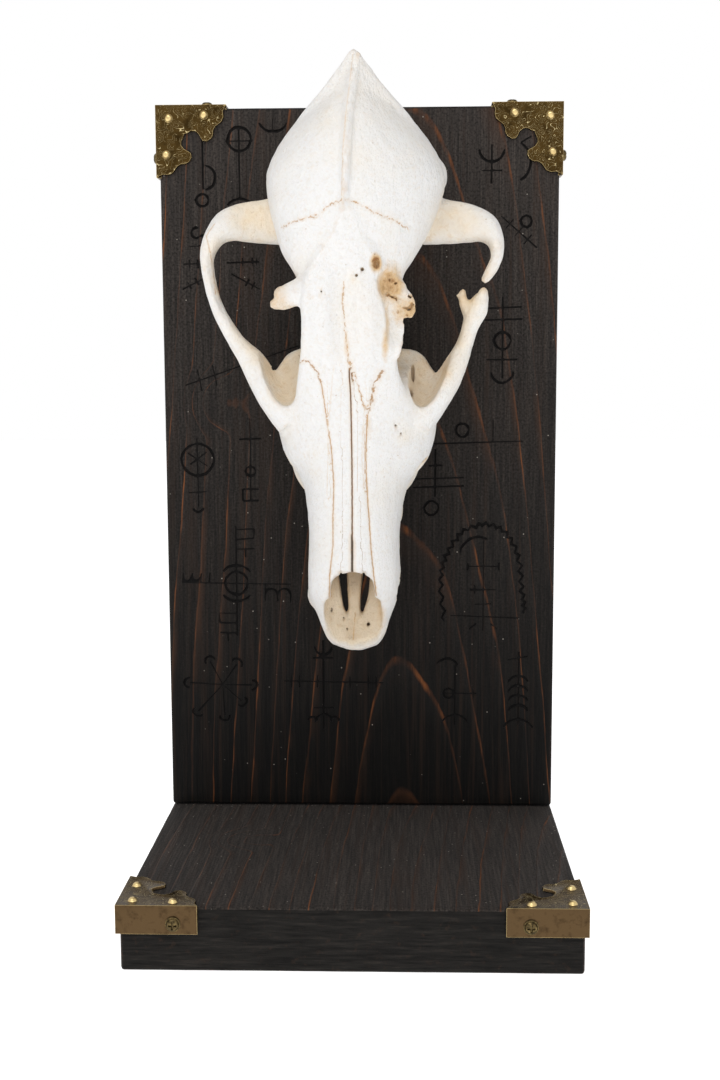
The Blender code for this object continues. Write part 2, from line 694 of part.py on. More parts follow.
def dome(name, centre, out, radius, rise, count=12):
    """A low round head that stands on its flat side."""
    rings = []
    across = out.orthogonal().normalized()
    other = out.cross(across)
    for level in (0.0, 0.35, 0.7, 0.92):
        reach = radius * math.sqrt(1 - level**2)
        ring = []
        for i in range(count):
            angle = 2 * math.pi * i / count
            ring.append(
                centre + out * rise * level + (across * math.cos(angle) + other * math.sin(angle)) * reach
            )
        rings.append(ring)
    return new_object(name, loft(rings))


def unite(made, others):
    """Joins closed objects into one closed body."""
    group = bpy.data.collections.new("to join")
    for other in others:
        group.objects.link(other)
    boolean = made.modifiers.new("join", "BOOLEAN")
    boolean.operation = "UNION"
    boolean.operand_type = "COLLECTION"
    boolean.collection = group
    boolean.solver = "MANIFOLD"
    apply_modifiers(made)
    for other in others:
        bpy.data.objects.remove(other, do_unlink=True)
    bpy.data.collections.remove(group)


def brass_corner(name, tip, arm_a, arm_b, out, material):
    """A sheet brass corner on the board's edge at tip, with a flange folded over each edge.

    arm_a and arm_b run along the two edges from the tip, and out is the face's direction.
    """
    fold = tip - (arm_a + arm_b) * (FIT_GAP + CORNER_SHEET) + out * FIT_GAP

    def on_face(point):
        return fold + arm_a * point.x + arm_b * point.y

    def on_flange(point):
        return on_face(point) + out * CORNER_SHEET * 0.6

    set_back = CORNER_SHEET * 0.15
    outline = [Vector((max(point.x, set_back), max(point.y, set_back))) for point in corner_outline()]
    face = new_object(name, sheet_from(outline, on_face, CORNER_SHEET, out))
    reach, sheet = CORNER_FLANGE_REACH, CORNER_SHEET
    angle_iron = ((0, 0), (reach, 0), (reach, sheet), (sheet, sheet), (sheet, reach), (0, reach))
    flanges = new_object("flanges", sheet_from([Vector(p) for p in angle_iron], on_flange, -CORNER_FLANGE, out))
    pieces = [flanges]
    for p, q in NAIL_PLACES:
        foot = on_face(Vector((p, q)) * MM) + out * CORNER_SHEET * 0.5
        pieces.append(dome("nail", foot, out, NAIL_RADIUS, NAIL_RISE + CORNER_SHEET * 0.5, 10))
    unite(face, pieces)
    face.data.materials.append(material)
    return face


def corner_screws(name, tip, arm_a, arm_b, out):
    """Name, place of the head's seat and direction of each of a corner's two screws."""
    found = []
    for letter, along, across in (("a", arm_a, arm_b), ("b", arm_b, arm_a)):
        seat = tip + along * (SCREW_INSET - FIT_GAP - CORNER_SHEET) - out * CORNER_FLANGE * 0.52
        seat -= across * (FIT_GAP + CORNER_SHEET)
        found.append((f"{name}_screw_{letter}", seat, -across))
    return found


def screw(name, seat, out, material):
    """A cross head screw: a low dome on a plain shank."""
    head = dome(name, seat + out * FIT_GAP, out, SCREW_HEAD_RADIUS, SCREW_HEAD_RISE, 14)
    shank = rod("shank", seat + out * (FIT_GAP + 0.2 * MM), seat - out * SCREW_SHANK_LENGTH, SCREW_SHANK_RADIUS, 10)
    unite(head, [shank])
    side = out.orthogonal().normalized()
    for way in (side, out.cross(side)):
        slot_middle = seat + out * (FIT_GAP + SCREW_HEAD_RISE)
        slot = rod("slot", slot_middle - way * 1.2 * MM, slot_middle + way * 1.2 * MM, 0.35 * MM, 6)
        cut(head, slot)
    head.data.materials.append(material)
    return head


def screw_hole(seat, out):
    return rod(
        "screw hole", seat + out * 2 * MM, seat - out * (SCREW_SHANK_LENGTH + FIT_GAP),
        SCREW_SHANK_RADIUS + FIT_GAP, 10,
    )


def corners():
    """Name, tip, two arms and face direction of each of the four corners."""
    right, up, front = Vector((1, 0, 0)), Vector((0, 0, 1)), Vector((0, -1, 0))
    half = BOARD_WIDTH / 2
    top = BOARD_THICKNESS + UPRIGHT_HEIGHT
    found = []
    for label, side in (("left", -1), ("right", 1)):
        high = Vector((side * half, UPRIGHT_FRONT, top))
        low = Vector((side * half, -BASE_DEPTH / 2, BOARD_THICKNESS))
        found.append((f"corner_top_{label}", high, right * -side, -up, front))
        found.append((f"corner_front_{label}", low, right * -side, -front, up))
    return found


def main():
    clear_scene()
    wood = finish_material("black stained pine", (0.013, 0.011, 0.010), 0.55)
    brass = finish_material("antique brass", (0.32, 0.24, 0.10), 0.38, 1.0)
    steel = finish_material("blackened steel", (0.08, 0.075, 0.06), 0.45, 1.0)
    bone = finish_material("bleached bone", (0.83, 0.79, 0.73), 0.6)
    beech = finish_material("beech dowel", (0.45, 0.30, 0.17), 0.6)
    half = BOARD_WIDTH / 2
    base = board(
        "board_base",
        (-half, -BASE_DEPTH / 2, 0), (half, BASE_DEPTH / 2, BOARD_THICKNESS), wood,
    )
    upright = board(
        "board_upright",
        (-half, UPRIGHT_FRONT, BOARD_THICKNESS + FIT_GAP),
        (half, BASE_DEPTH / 2, BOARD_THICKNESS + UPRIGHT_HEIGHT), wood,
    )
    skull(bone)
    for name, start, end in pegs():
        cut(upright, peg_hole((name, start, end)))
        rod(name, start, end, PEG_RADIUS).data.materials.append(beech)
    for name, tip, arm_a, arm_b, out in corners():
        plate = brass_corner(name, tip, arm_a, arm_b, out, brass)
        carrier = upright if "top" in name else base
        for screw_name, seat, way in corner_screws(name, tip, arm_a, arm_b, out):
            cut(plate, screw_hole(seat, way), "MANIFOLD")
            cut(carrier, screw_hole(seat, way))
            screw(screw_name, seat, way, steel)


main()
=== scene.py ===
"""Coyote skull on a carved black board stand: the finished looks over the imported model.

Metres, +Z up, the viewer stands at -Y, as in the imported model.
The skull is described in millimetres by along (from the snout), across and up (towards the brow).
It is lofted from slices and bars, as no primitive comes near its shape, and then fused and cut.
"""

import math

import bmesh
import bpy
import numpy as np
from mathutils import Matrix, Vector, noise
from mathutils.bvhtree import BVHTree
from mathutils.kdtree import KDTree


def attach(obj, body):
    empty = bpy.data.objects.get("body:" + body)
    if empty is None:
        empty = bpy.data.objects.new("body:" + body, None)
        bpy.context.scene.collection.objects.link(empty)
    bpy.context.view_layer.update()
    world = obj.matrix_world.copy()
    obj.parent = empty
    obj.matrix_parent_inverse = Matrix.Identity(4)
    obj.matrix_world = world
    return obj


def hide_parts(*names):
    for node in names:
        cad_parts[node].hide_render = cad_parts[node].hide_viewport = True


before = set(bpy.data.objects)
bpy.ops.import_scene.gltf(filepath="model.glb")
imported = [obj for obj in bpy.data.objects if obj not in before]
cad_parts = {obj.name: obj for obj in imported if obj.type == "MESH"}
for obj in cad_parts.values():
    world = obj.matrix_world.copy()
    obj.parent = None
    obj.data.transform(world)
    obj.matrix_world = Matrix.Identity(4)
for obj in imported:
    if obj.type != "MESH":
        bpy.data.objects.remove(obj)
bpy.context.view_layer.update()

MM = 0.001

# Board stand, as in the solids
BOARD_WIDTH = 140 * MM
BOARD_THICKNESS = 20 * MM
BASE_DEPTH = 120 * MM
UPRIGHT_HEIGHT = 251 * MM
FIT_GAP = 0.3 * MM
UPRIGHT_FRONT = BASE_DEPTH / 2 - BOARD_THICKNESS
CARVING_RADIUS = 0.62 * MM
CARVING_VOXEL = 0.3 * MM
EDGE_ROUND = 1.0 * MM
EDGE_WEAR = 0.28 * MM
EDGE_WEAR_REACH = 1.2 * MM
BOARD_CUTS = 4 * MM

# Brass corners
CORNER_ARM = 24.81 * MM
CORNER_SHEET = 0.8 * MM
CORNER_FLANGE = 9 * MM
CORNER_ROUND = 0.36 * MM
RIM_WIDTH = 0.55 * MM
RIM_DROP = 0.22 * MM
RIVET_PLACES = ((4.6, 4.6), (17.0, 3.6), (3.6, 17.0))
RIVET_FOOT = -0.3
RIVET_RADIUS = 1.35 * MM
RIVET_RISE = 1.15 * MM
RIVET_COLLAR = 0.25 * MM
RIVET_CROWN = 0.95 * MM
SCREW_INSET = 17.5 * MM
SCREW_RADIUS = 2.3 * MM
SCREW_COLLAR = 0.5 * MM
RECESS_SIZE = (2.5 * MM, 0.62 * MM, 1.3 * MM)

# Skull
SNOUT_FRONT = Vector((-1.4, 12.9, 84.9)) * MM
SKULL_TILT = math.radians(10)
SKULL_LEAN = math.radians(0.43)
SKULL_VOXEL = 0.55 * MM
SKULL_TRIANGLES = 190000
MELT_ROUNDS = 30
PIT_VOXEL = 0.35 * MM
PLAIN_TRIANGLES = 9000
SKY_RAYS = 24
SKY_RAY_START = 0.3
SKY_RAY_REACH = 30.0
SKY_NEAREST = 5

# The photograph's camera: turn, tilt and roll in radians, lens in millimetres, and place
CAMERA_TURN = 0.0311
CAMERA_TILT = 0.1229
CAMERA_ROLL = -0.0037
CAMERA_LENS = 46.82
CAMERA_PLACE = Vector((15.57, -463.55, 181.27)) * MM


def new_object(name, bm):
    """An object in the scene from a bmesh, with its faces pointing out."""
    bmesh.ops.recalc_face_normals(bm, faces=bm.faces)
    mesh = bpy.data.meshes.new(name)
    bm.to_mesh(mesh)
    bm.free()
    made = bpy.data.objects.new(name, mesh)
    bpy.context.scene.collection.objects.link(made)
    return made


def apply_modifiers(made):
    """Puts what the modifiers make into the object's own mesh."""
    bpy.context.view_layer.update()
    graph = bpy.context.evaluated_depsgraph_get()
    shaped = bpy.data.meshes.new_from_object(made.evaluated_get(graph))
    made.modifiers.clear()
    made.data = shaped


def smooth_between(keys, places):
    """Each column of keys read at the places, on a smooth curve. The first column is the place."""
    keys = np.array(keys, float)
    at, values = keys[:, 0], keys[:, 1:]
    slope = np.gradient(values, at, axis=0)
    cell = np.clip(np.searchsorted(at, places, "right") - 1, 0, len(at) - 2)
    width = at[cell + 1] - at[cell]
    t = (places - at[cell]) / width
    t = t[:, None]
    width = width[:, None]
    start, end = values[cell], values[cell + 1]
    return (
        (2 * t**3 - 3 * t**2 + 1) * start
        + (t**3 - 2 * t**2 + t) * width * slope[cell]
        + (3 * t**2 - 2 * t**3) * end
        + (t**3 - t**2) * width * slope[cell + 1]
    )


def skull_point(along, across, up):
    """The skull's own frame: along is +Z, across is +X and up is -Y, in metres."""
    return Vector((across, -up, along)) * MM


def loft(rings):
    """A closed bmesh through rings of the same number of points."""
    bm = bmesh.new()
    loops = [[bm.verts.new(point) for point in ring] for ring in rings]
    count = len(loops[0])
    for near, far in zip(loops, loops[1:]):
        for i in range(count):
            j = (i + 1) % count
            bm.faces.new((near[i], near[j], far[j], far[i]))
    bm.faces.new(loops[0])
    bm.faces.new(loops[-1])
    return bm


def round_power(value, roundness):
    """A sine or cosine bent towards a box (roundness over 2) or a ridge (under 2)."""
    return math.copysign(abs(value) ** (2 / roundness), value)


def section(along, left, right, ridge, top, widest, bottom, round_top, round_bottom, count):
    """One slice of a bone: a closed ring with its own width each side of the ridge."""
    ring = []
    for i in range(count):
        angle = 2 * math.pi * i / count
        roundness = round_top if math.cos(angle) > 0 else round_bottom
        side = round_power(math.sin(angle), roundness)
        lift = round_power(math.cos(angle), roundness)
        across = ridge + side * ((right - ridge) if side > 0 else (ridge + left))
        up = widest + lift * ((top - widest) if lift > 0 else (widest - bottom))
        ring.append(skull_point(along, across, up))
    return ring


def sliced_bone(name, keys, step, count=32):
    """A bone lofted through slices: along, left, right, ridge, top, widest, bottom and two roundnesses."""
    first, last = keys[0][0], keys[-1][0]
    places = np.linspace(first, last, max(3, round((last - first) / step)))
    values = smooth_between(keys, places)
    return new_object(name, loft([section(s, *row, count) for s, row in zip(places, values)]))


def bar(name, keys, per_span=4, count=14):
    """A bar swept through points: along, across, up, thickness and height of each. It stands on edge."""
    keys = np.array(keys, float)
    steps = np.linspace(0, len(keys) - 1, (len(keys) - 1) * per_span + 1)
    rows = smooth_between(np.column_stack([np.arange(len(keys)), keys]), steps)
    centres = [skull_point(*row[:3]) for row in rows]
    rings = []
    for i, row in enumerate(rows):
        way = centres[min(i + 1, len(rows) - 1)] - centres[max(i - 1, 0)]
        side = way.cross(Vector((0, -1, 0))).normalized()
        rise = side.cross(way).normalized()
        half_thick, half_high = row[3] * MM / 2, row[4] * MM / 2
        ring = []
        for j in range(count):
            angle = 2 * math.pi * j / count
            ring.append(
                centres[i]
                + side * round_power(math.cos(angle), 2.4) * half_thick
                + rise * round_power(math.sin(angle), 2.4) * half_high
            )
        rings.append(ring)
    return new_object(name, loft(rings))


def egg(name, along, across, up, long, wide, high, turn=0.0):
    """An ellipsoid given by its centre and its three half sizes, turned in the plane of the brow."""
    bm = bmesh.new()
    bmesh.ops.create_uvsphere(bm, u_segments=20, v_segments=12, radius=1)
    shape = Matrix.Diagonal((wide * MM, high * MM, long * MM, 1))
    spin = Matrix.Rotation(math.radians(turn), 4, "Y")
    place = Matrix.Translation(skull_point(along, across, up))
    bmesh.ops.transform(bm, matrix=place @ spin @ shape, verts=bm.verts)
    return new_object(name, bm)


def joined(name, pieces):
    """One object that holds the faces of all the pieces, which are removed."""
    bm = bmesh.new()
    for piece in pieces:
        bm.from_mesh(piece.data)
        bpy.data.objects.remove(piece, do_unlink=True)
    mesh = bpy.data.meshes.new(name)
    bm.to_mesh(mesh)
    bm.free()
    made = bpy.data.objects.new(name, mesh)
    bpy.context.scene.collection.objects.link(made)
    return made


def fuse(made, voxel, smoothing):
    """Makes one skin round overlapping pieces and softens where they meet."""
    remesh = made.modifiers.new("one skin", "REMESH")
    remesh.mode = "VOXEL"
    remesh.voxel_size = voxel
    if smoothing:
        smooth = made.modifiers.new("soft joins", "SMOOTH")
        smooth.iterations = smoothing
        smooth.factor = 0.5
    apply_modifiers(made)


def cut(made, cutter, solver="EXACT"):
    boolean = made.modifiers.new("cut", "BOOLEAN")
    boolean.operation = "DIFFERENCE"
    boolean.object = cutter
    boolean.solver = solver
    apply_modifiers(made)
    bpy.data.objects.remove(cutter, do_unlink=True)


def keep_largest_shell(made):
    """Drops every loose scrap and sealed hollow, and keeps the shell with the most faces."""
    bm = bmesh.new()
    bm.from_mesh(made.data)
    unseen = set(bm.verts)
    largest = set()
    while unseen:
        edge_of_search = [unseen.pop()]
        shell = set(edge_of_search)
        while edge_of_search:
            vert = edge_of_search.pop()
            for edge in vert.link_edges:
                other = edge.other_vert(vert)
                if other in unseen:
                    unseen.discard(other)
                    shell.add(other)
                    edge_of_search.append(other)
        if len(shell) > len(largest):
            largest = shell
    bmesh.ops.delete(bm, geom=[v for v in bm.verts if v not in largest], context="VERTS")
    bm.to_mesh(made.data)
    bm.free()


# The middle line of the brow bends a little to the viewer's left: along, across
MIDDLE_LINE = (
    (0, 0), (24, 0), (60, -0.6), (81, -1.1), (97, -1.9), (108, -3.0),
    (124, -3.0), (139, -2.9), (154, -2.5), (167, -1.9), (176, -0.9), (190, 0),
)

# Snout and cheeks: along, left, right, ridge, top, widest, bottom, round_top, round_bottom
SNOUT = (
    (-0.8, 2.5, 3.0, 0.2, 3.2, 2.2, 1.0, 2.0, 2.0),
    (0.6, 6.6, 7.2, 0.2, 4.8, 2.6, 0.2, 2.2, 2.4),
    (4.5, 9.6, 10.6, 0.1, 8.0, 3.2, -0.6, 2.3, 2.8),
    (10, 12.0, 12.2, 0.0, 12.6, 4.0, -0.8, 2.3, 3.2),
    (17, 15.2, 14.8, 0.0, 18.5, 5.0, -1.0, 2.3, 3.4),
    (24, 15.8, 15.8, 0.0, 23.2, 5.5, -1.0, 2.2, 3.6),
    (35, 15.6, 15.4, -0.2, 25.5, 6.0, -0.8, 2.1, 3.6),
    (48, 16.4, 16.4, -0.4, 28.5, 6.0, -0.6, 2.0, 3.6),
    (57, 18.4, 18.8, -0.6, 30.6, 6.5, -0.4, 1.9, 3.6),
    (65, 23.8, 25.0, -0.7, 32.4, 8.0, -0.2, 1.8, 3.4),
    (74, 26.2, 27.6, -0.9, 34.4, 10.0, 0.0, 1.75, 3.0),
    (81, 27.4, 27.8, -1.1, 36.0, 12.0, 0.6, 1.8, 2.8),
    (88, 29.2, 29.0, -1.4, 32.0, 12.5, 1.6, 1.9, 2.6),
    (93, 28.4, 28.0, -1.6, 24.0, 12.0, 2.8, 2.0, 2.4),
    (97, 25.6, 25.0, -1.8, 17.0, 11.4, 4.8, 2.2, 2.2),
    (100, 24.0, 23.4, -2.0, 14.8, 11.2, 7.0, 2.4, 2.0),
    (102.2, 20.0, 19.6, -2.0, 13.0, 11.0, 8.6, 2.2, 2.0),
)

# Brow and braincase, in the same measures
BRAINCASE = (
    (66, 12.0, 12.0, -0.7, 29.5, 20.0, 8.0, 2.0, 2.0),
    (74, 16.6, 16.6, -0.9, 33.8, 23.5, 8.0, 2.0, 2.0),
    (82, 19.2, 18.4, -1.1, 37.0, 26.5, 9.0, 2.0, 1.8),
    (90, 18.0, 15.0, -1.5, 40.4, 34.0, 8.0, 2.4, 1.5),
    (98, 17.0, 14.2, -2.0, 43.6, 39.0, 7.0, 2.6, 1.3),
    (106, 16.3, 14.6, -3.0, 46.4, 41.5, 7.0, 2.6, 1.2),
    (113, 16.2, 16.4, -3.0, 48.4, 41.5, 8.0, 2.4, 1.3),
    (119, 18.0, 15.6, -3.0, 50.6, 40.0, 9.0, 2.2, 1.5),
    (127, 22.8, 19.8, -3.0, 53.2, 37.0, 11.0, 2.1, 1.8),
    (136, 25.8, 24.2, -2.9, 55.6, 34.0, 12.0, 2.1, 2.0),
    (145, 28.2, 27.8, -2.7, 57.0, 32.0, 12.0, 2.05, 2.2),
    (154, 29.2, 29.6, -2.5, 57.6, 31.0, 12.0, 1.95, 2.2),
    (163, 26.6, 26.8, -2.0, 57.6, 30.0, 12.0, 1.75, 2.2),
    (171, 21.2, 21.4, -1.2, 57.0, 30.0, 13.0, 1.5, 2.2),
    (177, 15.5, 15.5, -0.8, 56.0, 32.0, 16.0, 1.35, 2.2),
    (183, 9.0, 9.0, -0.4, 54.6, 38.0, 30.0, 1.3, 2.0),
    (186.5, 4.0, 4.0, -0.2, 54.0, 44.0, 38.0, 1.2, 2.0),
)

# Flat plate of the brow, whose edges draw together behind the orbits, in the same measures
BROW_PLATE = (
    (97, 16.2, 12.8, -1.9, 43.9, 40.6, 34.0, 2.8, 1.8),
    (105, 16.4, 13.4, -2.8, 46.8, 43.6, 36.0, 2.8, 1.8),
    (112, 16.2, 13.6, -3.0, 49.4, 45.8, 38.0, 2.7, 1.8),
    (118, 14.6, 11.6, -3.0, 51.4, 47.8, 40.0, 2.5, 1.8),
    (125, 11.4, 7.6, -3.0, 53.4, 50.4, 44.0, 2.4, 1.8),
    (132, 7.6, 3.0, -3.0, 55.2, 52.8, 48.0, 2.2, 1.8),
    (140, 4.6, -1.4, -2.9, 56.8, 54.8, 50.0, 2.0, 1.8),
)

# Back of the skull, in slices one above the other: up, half width, side edge, back edge
OCCIPUT = (
    (13, 20.0, 160.0, 176.0),
    (19, 28.5, 161.0, 179.0),
    (25, 28.0, 162.5, 180.0),
    (31, 25.4, 164.2, 180.8),
    (37, 21.4, 168.4, 182.0),
    (43, 16.4, 172.6, 183.6),
    (48, 10.8, 177.0, 185.4),
    (52.5, 5.8, 182.4, 187.2),
    (56.5, 1.4, 187.0, 188.8),
)

OCCIPUT_FRONT = 150.0

OCCIPUT_EDGE = 1.35

# Crest along the top of the braincase: along, height of its edge, half width at its root
CREST = (
    (132, 55.6, 2.6), (140, 58.0, 2.6), (150, 59.6, 2.8), (160, 60.2, 2.8),
    (169, 59.8, 2.8), (177, 58.8, 2.6), (184, 57.2, 2.4), (188.6, 55.4, 1.4),
)

CREST_ROOT_DEPTH = 9.0

# Cheek arches: along, across, up, thickness, height
WHOLE_ARCH = (
    (76, -20.0, 17.0, 13.0, 17.0),
    (84, -26.3, 18.0, 12.0, 16.0),
    (90, -30.4, 18.2, 11.0, 13.4),
    (96, -34.5, 18.4, 8.8, 11.0),
    (101.5, -39.0, 19.2, 6.2, 9.6),
    (108, -43.2, 21.0, 4.9, 9.0),
    (115, -46.6, 23.4, 4.2, 9.0),
    (122, -48.4, 26.0, 4.0, 9.4),
    (129, -48.8, 28.4, 4.6, 9.6),
    (135.5, -46.4, 29.4, 7.0, 8.6),
    (139.5, -42.0, 28.6, 11.0, 7.4),
    (141.2, -37.0, 26.6, 13.6, 6.8),
    (142.0, -31.0, 24.6, 15.0, 7.4),
    (143.0, -23.0, 23.0, 17.0, 9.0),
)

BROKEN_ARCH_FRONT = (
    (76, 20.0, 17.0, 13.0, 17.0),
    (84, 26.0, 18.0, 11.6, 16.0),
    (90, 30.4, 18.2, 10.0, 13.4),
    (96, 34.0, 18.4, 7.6, 11.0),
    (102, 36.6, 19.2, 5.6, 9.6),
    (108, 38.6, 21.0, 5.8, 9.0),
    (113, 40.4, 23.0, 7.4, 8.6),
    (116.6, 41.8, 24.6, 4.8, 6.8),
    (119.6, 43.0, 25.6, 1.8, 3.4),
)

BROKEN_ARCH_SPUR = (
    (110.5, 38.6, 22.4, 4.6, 6.0),
    (114.2, 36.4, 23.4, 3.4, 4.4),
    (117.2, 35.4, 24.0, 2.6, 3.2),
    (119.4, 35.8, 24.4, 1.2, 1.8),
)

BROKEN_ARCH_BACK = (
    (121.2, 42.2, 26.8, 1.8, 4.6),
    (124.2, 44.4, 27.6, 3.6, 7.6),
    (129, 46.6, 28.6, 3.8, 9.2),
    (134.4, 46.2, 29.2, 5.8, 8.6),
    (138.8, 42.6, 28.6, 10.4, 7.4),
    (140.8, 37.4, 26.8, 13.2, 6.8),
    (142.0, 31.4, 24.8, 15.0, 7.4),
    (143.0, 23.0, 23.0, 17.0, 9.0),
)

# Brow spur behind the whole orbit, and what is left of the broken one
WHOLE_BROW_SPUR = (
    (114.2, -12.0, 42.0, 12.0, 9.0),
    (114.2, -17.0, 42.4, 9.4, 7.4),
    (113.6, -21.2, 41.4, 7.0, 5.8),
    (113.0, -24.8, 40.2, 4.4, 4.2),
)

BROKEN_BROW_STUMP = (
    (115.0, 8.0, 43.0, 13.0, 9.0),
    (113.4, 13.0, 42.6, 10.0, 8.0),
    (111.0, 17.2, 41.4, 5.6, 6.0),
    (109.4, 20.0, 40.8, 2.2, 2.6),
)

# Cusps of a cheek tooth, as shares of its length, its width outwards and its height
BLADE = ((-0.06, 0.0, 1.0), (0.30, 0.0, 0.55))

SHEAR = ((-0.12, 0.10, 1.0), (0.27, 0.05, 0.72), (-0.42, -0.50, 0.50))

GRINDER = ((-0.22, 0.26, 0.90), (0.22, 0.24, 0.75), (0.02, -0.30, 0.55))

# Cheek teeth of one side: along, across, length, width, height, turn outwards in degrees, cusps
CHEEK_TEETH = (
    (26.5, 13.2, 5.2, 3.2, 3.4, 4, BLADE),
    (35.0, 13.2, 9.6, 3.6, 5.0, 4, BLADE),
    (46.5, 14.4, 11.0, 4.0, 5.8, 8, BLADE),
    (62.0, 18.2, 18.6, 6.8, 8.6, 20, SHEAR),
    (76.4, 19.8, 11.6, 12.4, 5.8, 6, GRINDER),
    (86.0, 18.4, 7.0, 9.4, 4.2, 0, GRINDER),
)

# The open front of the nose, the cavity behind it and the arch between its two side points
NOSE_BOWL = (
    (-1.6, 3.0, 3.4, 0.2, 9.0, 6.0, 4.4, 2.0, 2.0),
    (1, 5.8, 6.4, 0.2, 12.0, 6.5, 3.3, 2.0, 2.4),
    (4.5, 8.2, 9.0, 0.2, 16.0, 7.5, 2.9, 2.0, 2.6),
    (8, 9.4, 9.8, 0.1, 20.0, 9.0, 3.1, 2.0, 2.6),
    (12, 9.8, 9.8, 0.0, 24.0, 10.0, 3.5, 2.0, 2.6),
    (16.8, 9.6, 9.4, 0.0, 27.0, 11.0, 4.0, 2.0, 2.6),
)

NOSE_CAVITY = (
    (14, 9.4, 9.2, 0.0, 14.0, 9.5, 4.0, 2.0, 2.6),
    (19, 9.9, 9.7, 0.0, 18.2, 11.0, 4.3, 2.0, 2.6),
    (25, 10.0, 9.8, 0.0, 21.8, 12.5, 4.6, 2.0, 2.6),
    (31, 9.4, 9.2, 0.0, 22.4, 13.0, 5.2, 2.0, 2.4),
    (40, 8.0, 8.0, 0.0, 22.0, 13.0, 6.5, 2.0, 2.2),
    (50, 4.5, 4.5, 0.0, 19.0, 13.5, 9.0, 2.0, 2.0),
)

NOSE_ARCH = (
    (14, 8.4, 8.2, 0.0, 34.0, 24.0, 12.0, 3.0, 3.0),
    (18, 8.3, 8.1, 0.0, 34.0, 24.0, 12.0, 3.0, 3.0),
    (21, 7.7, 7.5, 0.0, 34.0, 24.0, 12.0, 3.0, 3.0),
    (23.4, 6.2, 6.0, 0.0, 34.0, 24.0, 12.0, 3.0, 3.0),
    (24.8, 3.8, 3.6, 0.0, 34.0, 24.0, 12.0, 3.0, 3.0),
    (25.4, 1.0, 1.0, 0.0, 34.0, 24.0, 12.0, 3.0, 3.0),
)

# The step where the edge of the brow is broken off beside the viewer's right orbit
BROW_STEP = (
    (93, -13.4, 22.0, 17.0, 62.0, 52.0, 44.5, 3.0, 4.0),
    (97, -10.8, 22.0, 17.0, 62.0, 50.0, 40.8, 3.0, 4.0),
    (103, -10.4, 22.0, 17.0, 62.0, 50.0, 40.2, 3.0, 4.0),
    (108, -10.0, 22.0, 17.0, 62.0, 50.0, 40.8, 3.0, 4.0),
    (112.5, -9.0, 22.0, 17.0, 62.0, 52.0, 43.5, 3.0, 4.0),
)


def occiput():
    """The back of the skull, lofted upwards, with a sharp edge each side for the nape's crest."""
    ups = np.linspace(OCCIPUT[0][0], OCCIPUT[-1][0], 18)
    rings = []
    for up, (half_width, side_edge, back_edge) in zip(ups, smooth_between(OCCIPUT, ups)):
        ring = []
        for i in range(36):
            angle = 2 * math.pi * i / 36
            behind = math.cos(angle) > 0
            across = half_width * round_power(math.sin(angle), OCCIPUT_EDGE)
            reach = (back_edge - side_edge) if behind else max(1.5, (side_edge - OCCIPUT_FRONT) / 2)
            along = side_edge + reach * round_power(math.cos(angle), OCCIPUT_EDGE)
            ring.append(skull_point(along, across, up))
        rings.append(ring)
    return new_object("occiput", loft(rings))


def crest():
    """The thin crest that rises along the middle of the braincase."""
    keys = []
    for along, edge, half_width in CREST:
        middle = float(smooth_between(MIDDLE_LINE, np.array([along]))[0, 0])
        root = edge - CREST_ROOT_DEPTH
        left, right = half_width - middle, half_width + middle
        keys.append((along, left, right, middle, edge, root + 4, root, 1.1, 2.0))
    return sliced_bone("crest", keys, step=2, count=20)


def tooth(side, along, across, length, width, height, turn, cusps):
    """A low crown on the gum line with its cusps below it, turned outwards at its back."""
    angle = math.radians(turn)
    pieces = [egg("crown", along, side * across, 1.2, length / 2, width / 2, height * 0.5, side * turn)]
    for share_along, share_out, share_high in cusps:
        back, out = share_along * length, share_out * width
        pieces.append(
            egg(
                "cusp",
                along + back * math.cos(angle) - out * math.sin(angle),
                side * (across + back * math.sin(angle) + out * math.cos(angle)),
                -height * share_high * 0.38,
                max(1.4, length * 0.22), max(1.3, width * 0.24), height * share_high * 0.62, side * turn,
            )
        )
    return pieces


def main_bones():
    """The large rounded masses, which melt into one another."""
    bones = [
        sliced_bone("snout", SNOUT, step=2),
        sliced_bone("braincase", BRAINCASE, step=2.5),
        sliced_bone("brow plate", BROW_PLATE, step=2),
        occiput(),
        bar(
            "skull floor",
            ((88, 0, 19, 18, 24), (120, -1, 22, 14, 20), (150, -0.6, 17, 20, 12), (176, -0.4, 17, 17, 8)),
        ),
    ]
    for side in (-1, 1):
        bones.append(
            bar(
                "brow swell",
                (
                    (90, side * 4 - 1.5, 36.6, 9, 6), (99, side * 6.6 - 2.2, 38.9, 12, 13),
                    (108, side * 7.4 - 3, 41.8, 13, 14.4), (117, side * 6.6 - 3, 45.4, 12, 13),
                    (126, side * 4 - 3, 49.4, 9, 7),
                ),
            )
        )
        bones.append(egg("ear drum", 153, side * 13.4, 12.6, 11.0, 7.6, 8.2, side * 18))
        bones.append(egg("mastoid", 158.5, side * 25.0, 20.0, 6.4, 5.6, 9.0))
        bones.append(egg("condyle", 176.4, side * 9.0, 19.5, 5.8, 5.6, 8.0, side * 22))
        bones.append(
            bar(
                "ear process",
                (
                    (162, side * 21.5, 20, 9, 9), (166, side * 21.6, 13, 6.5, 7.5),
                    (168.4, side * 21, 7.4, 3.4, 4.4),
                ),
            )
        )
    return bones


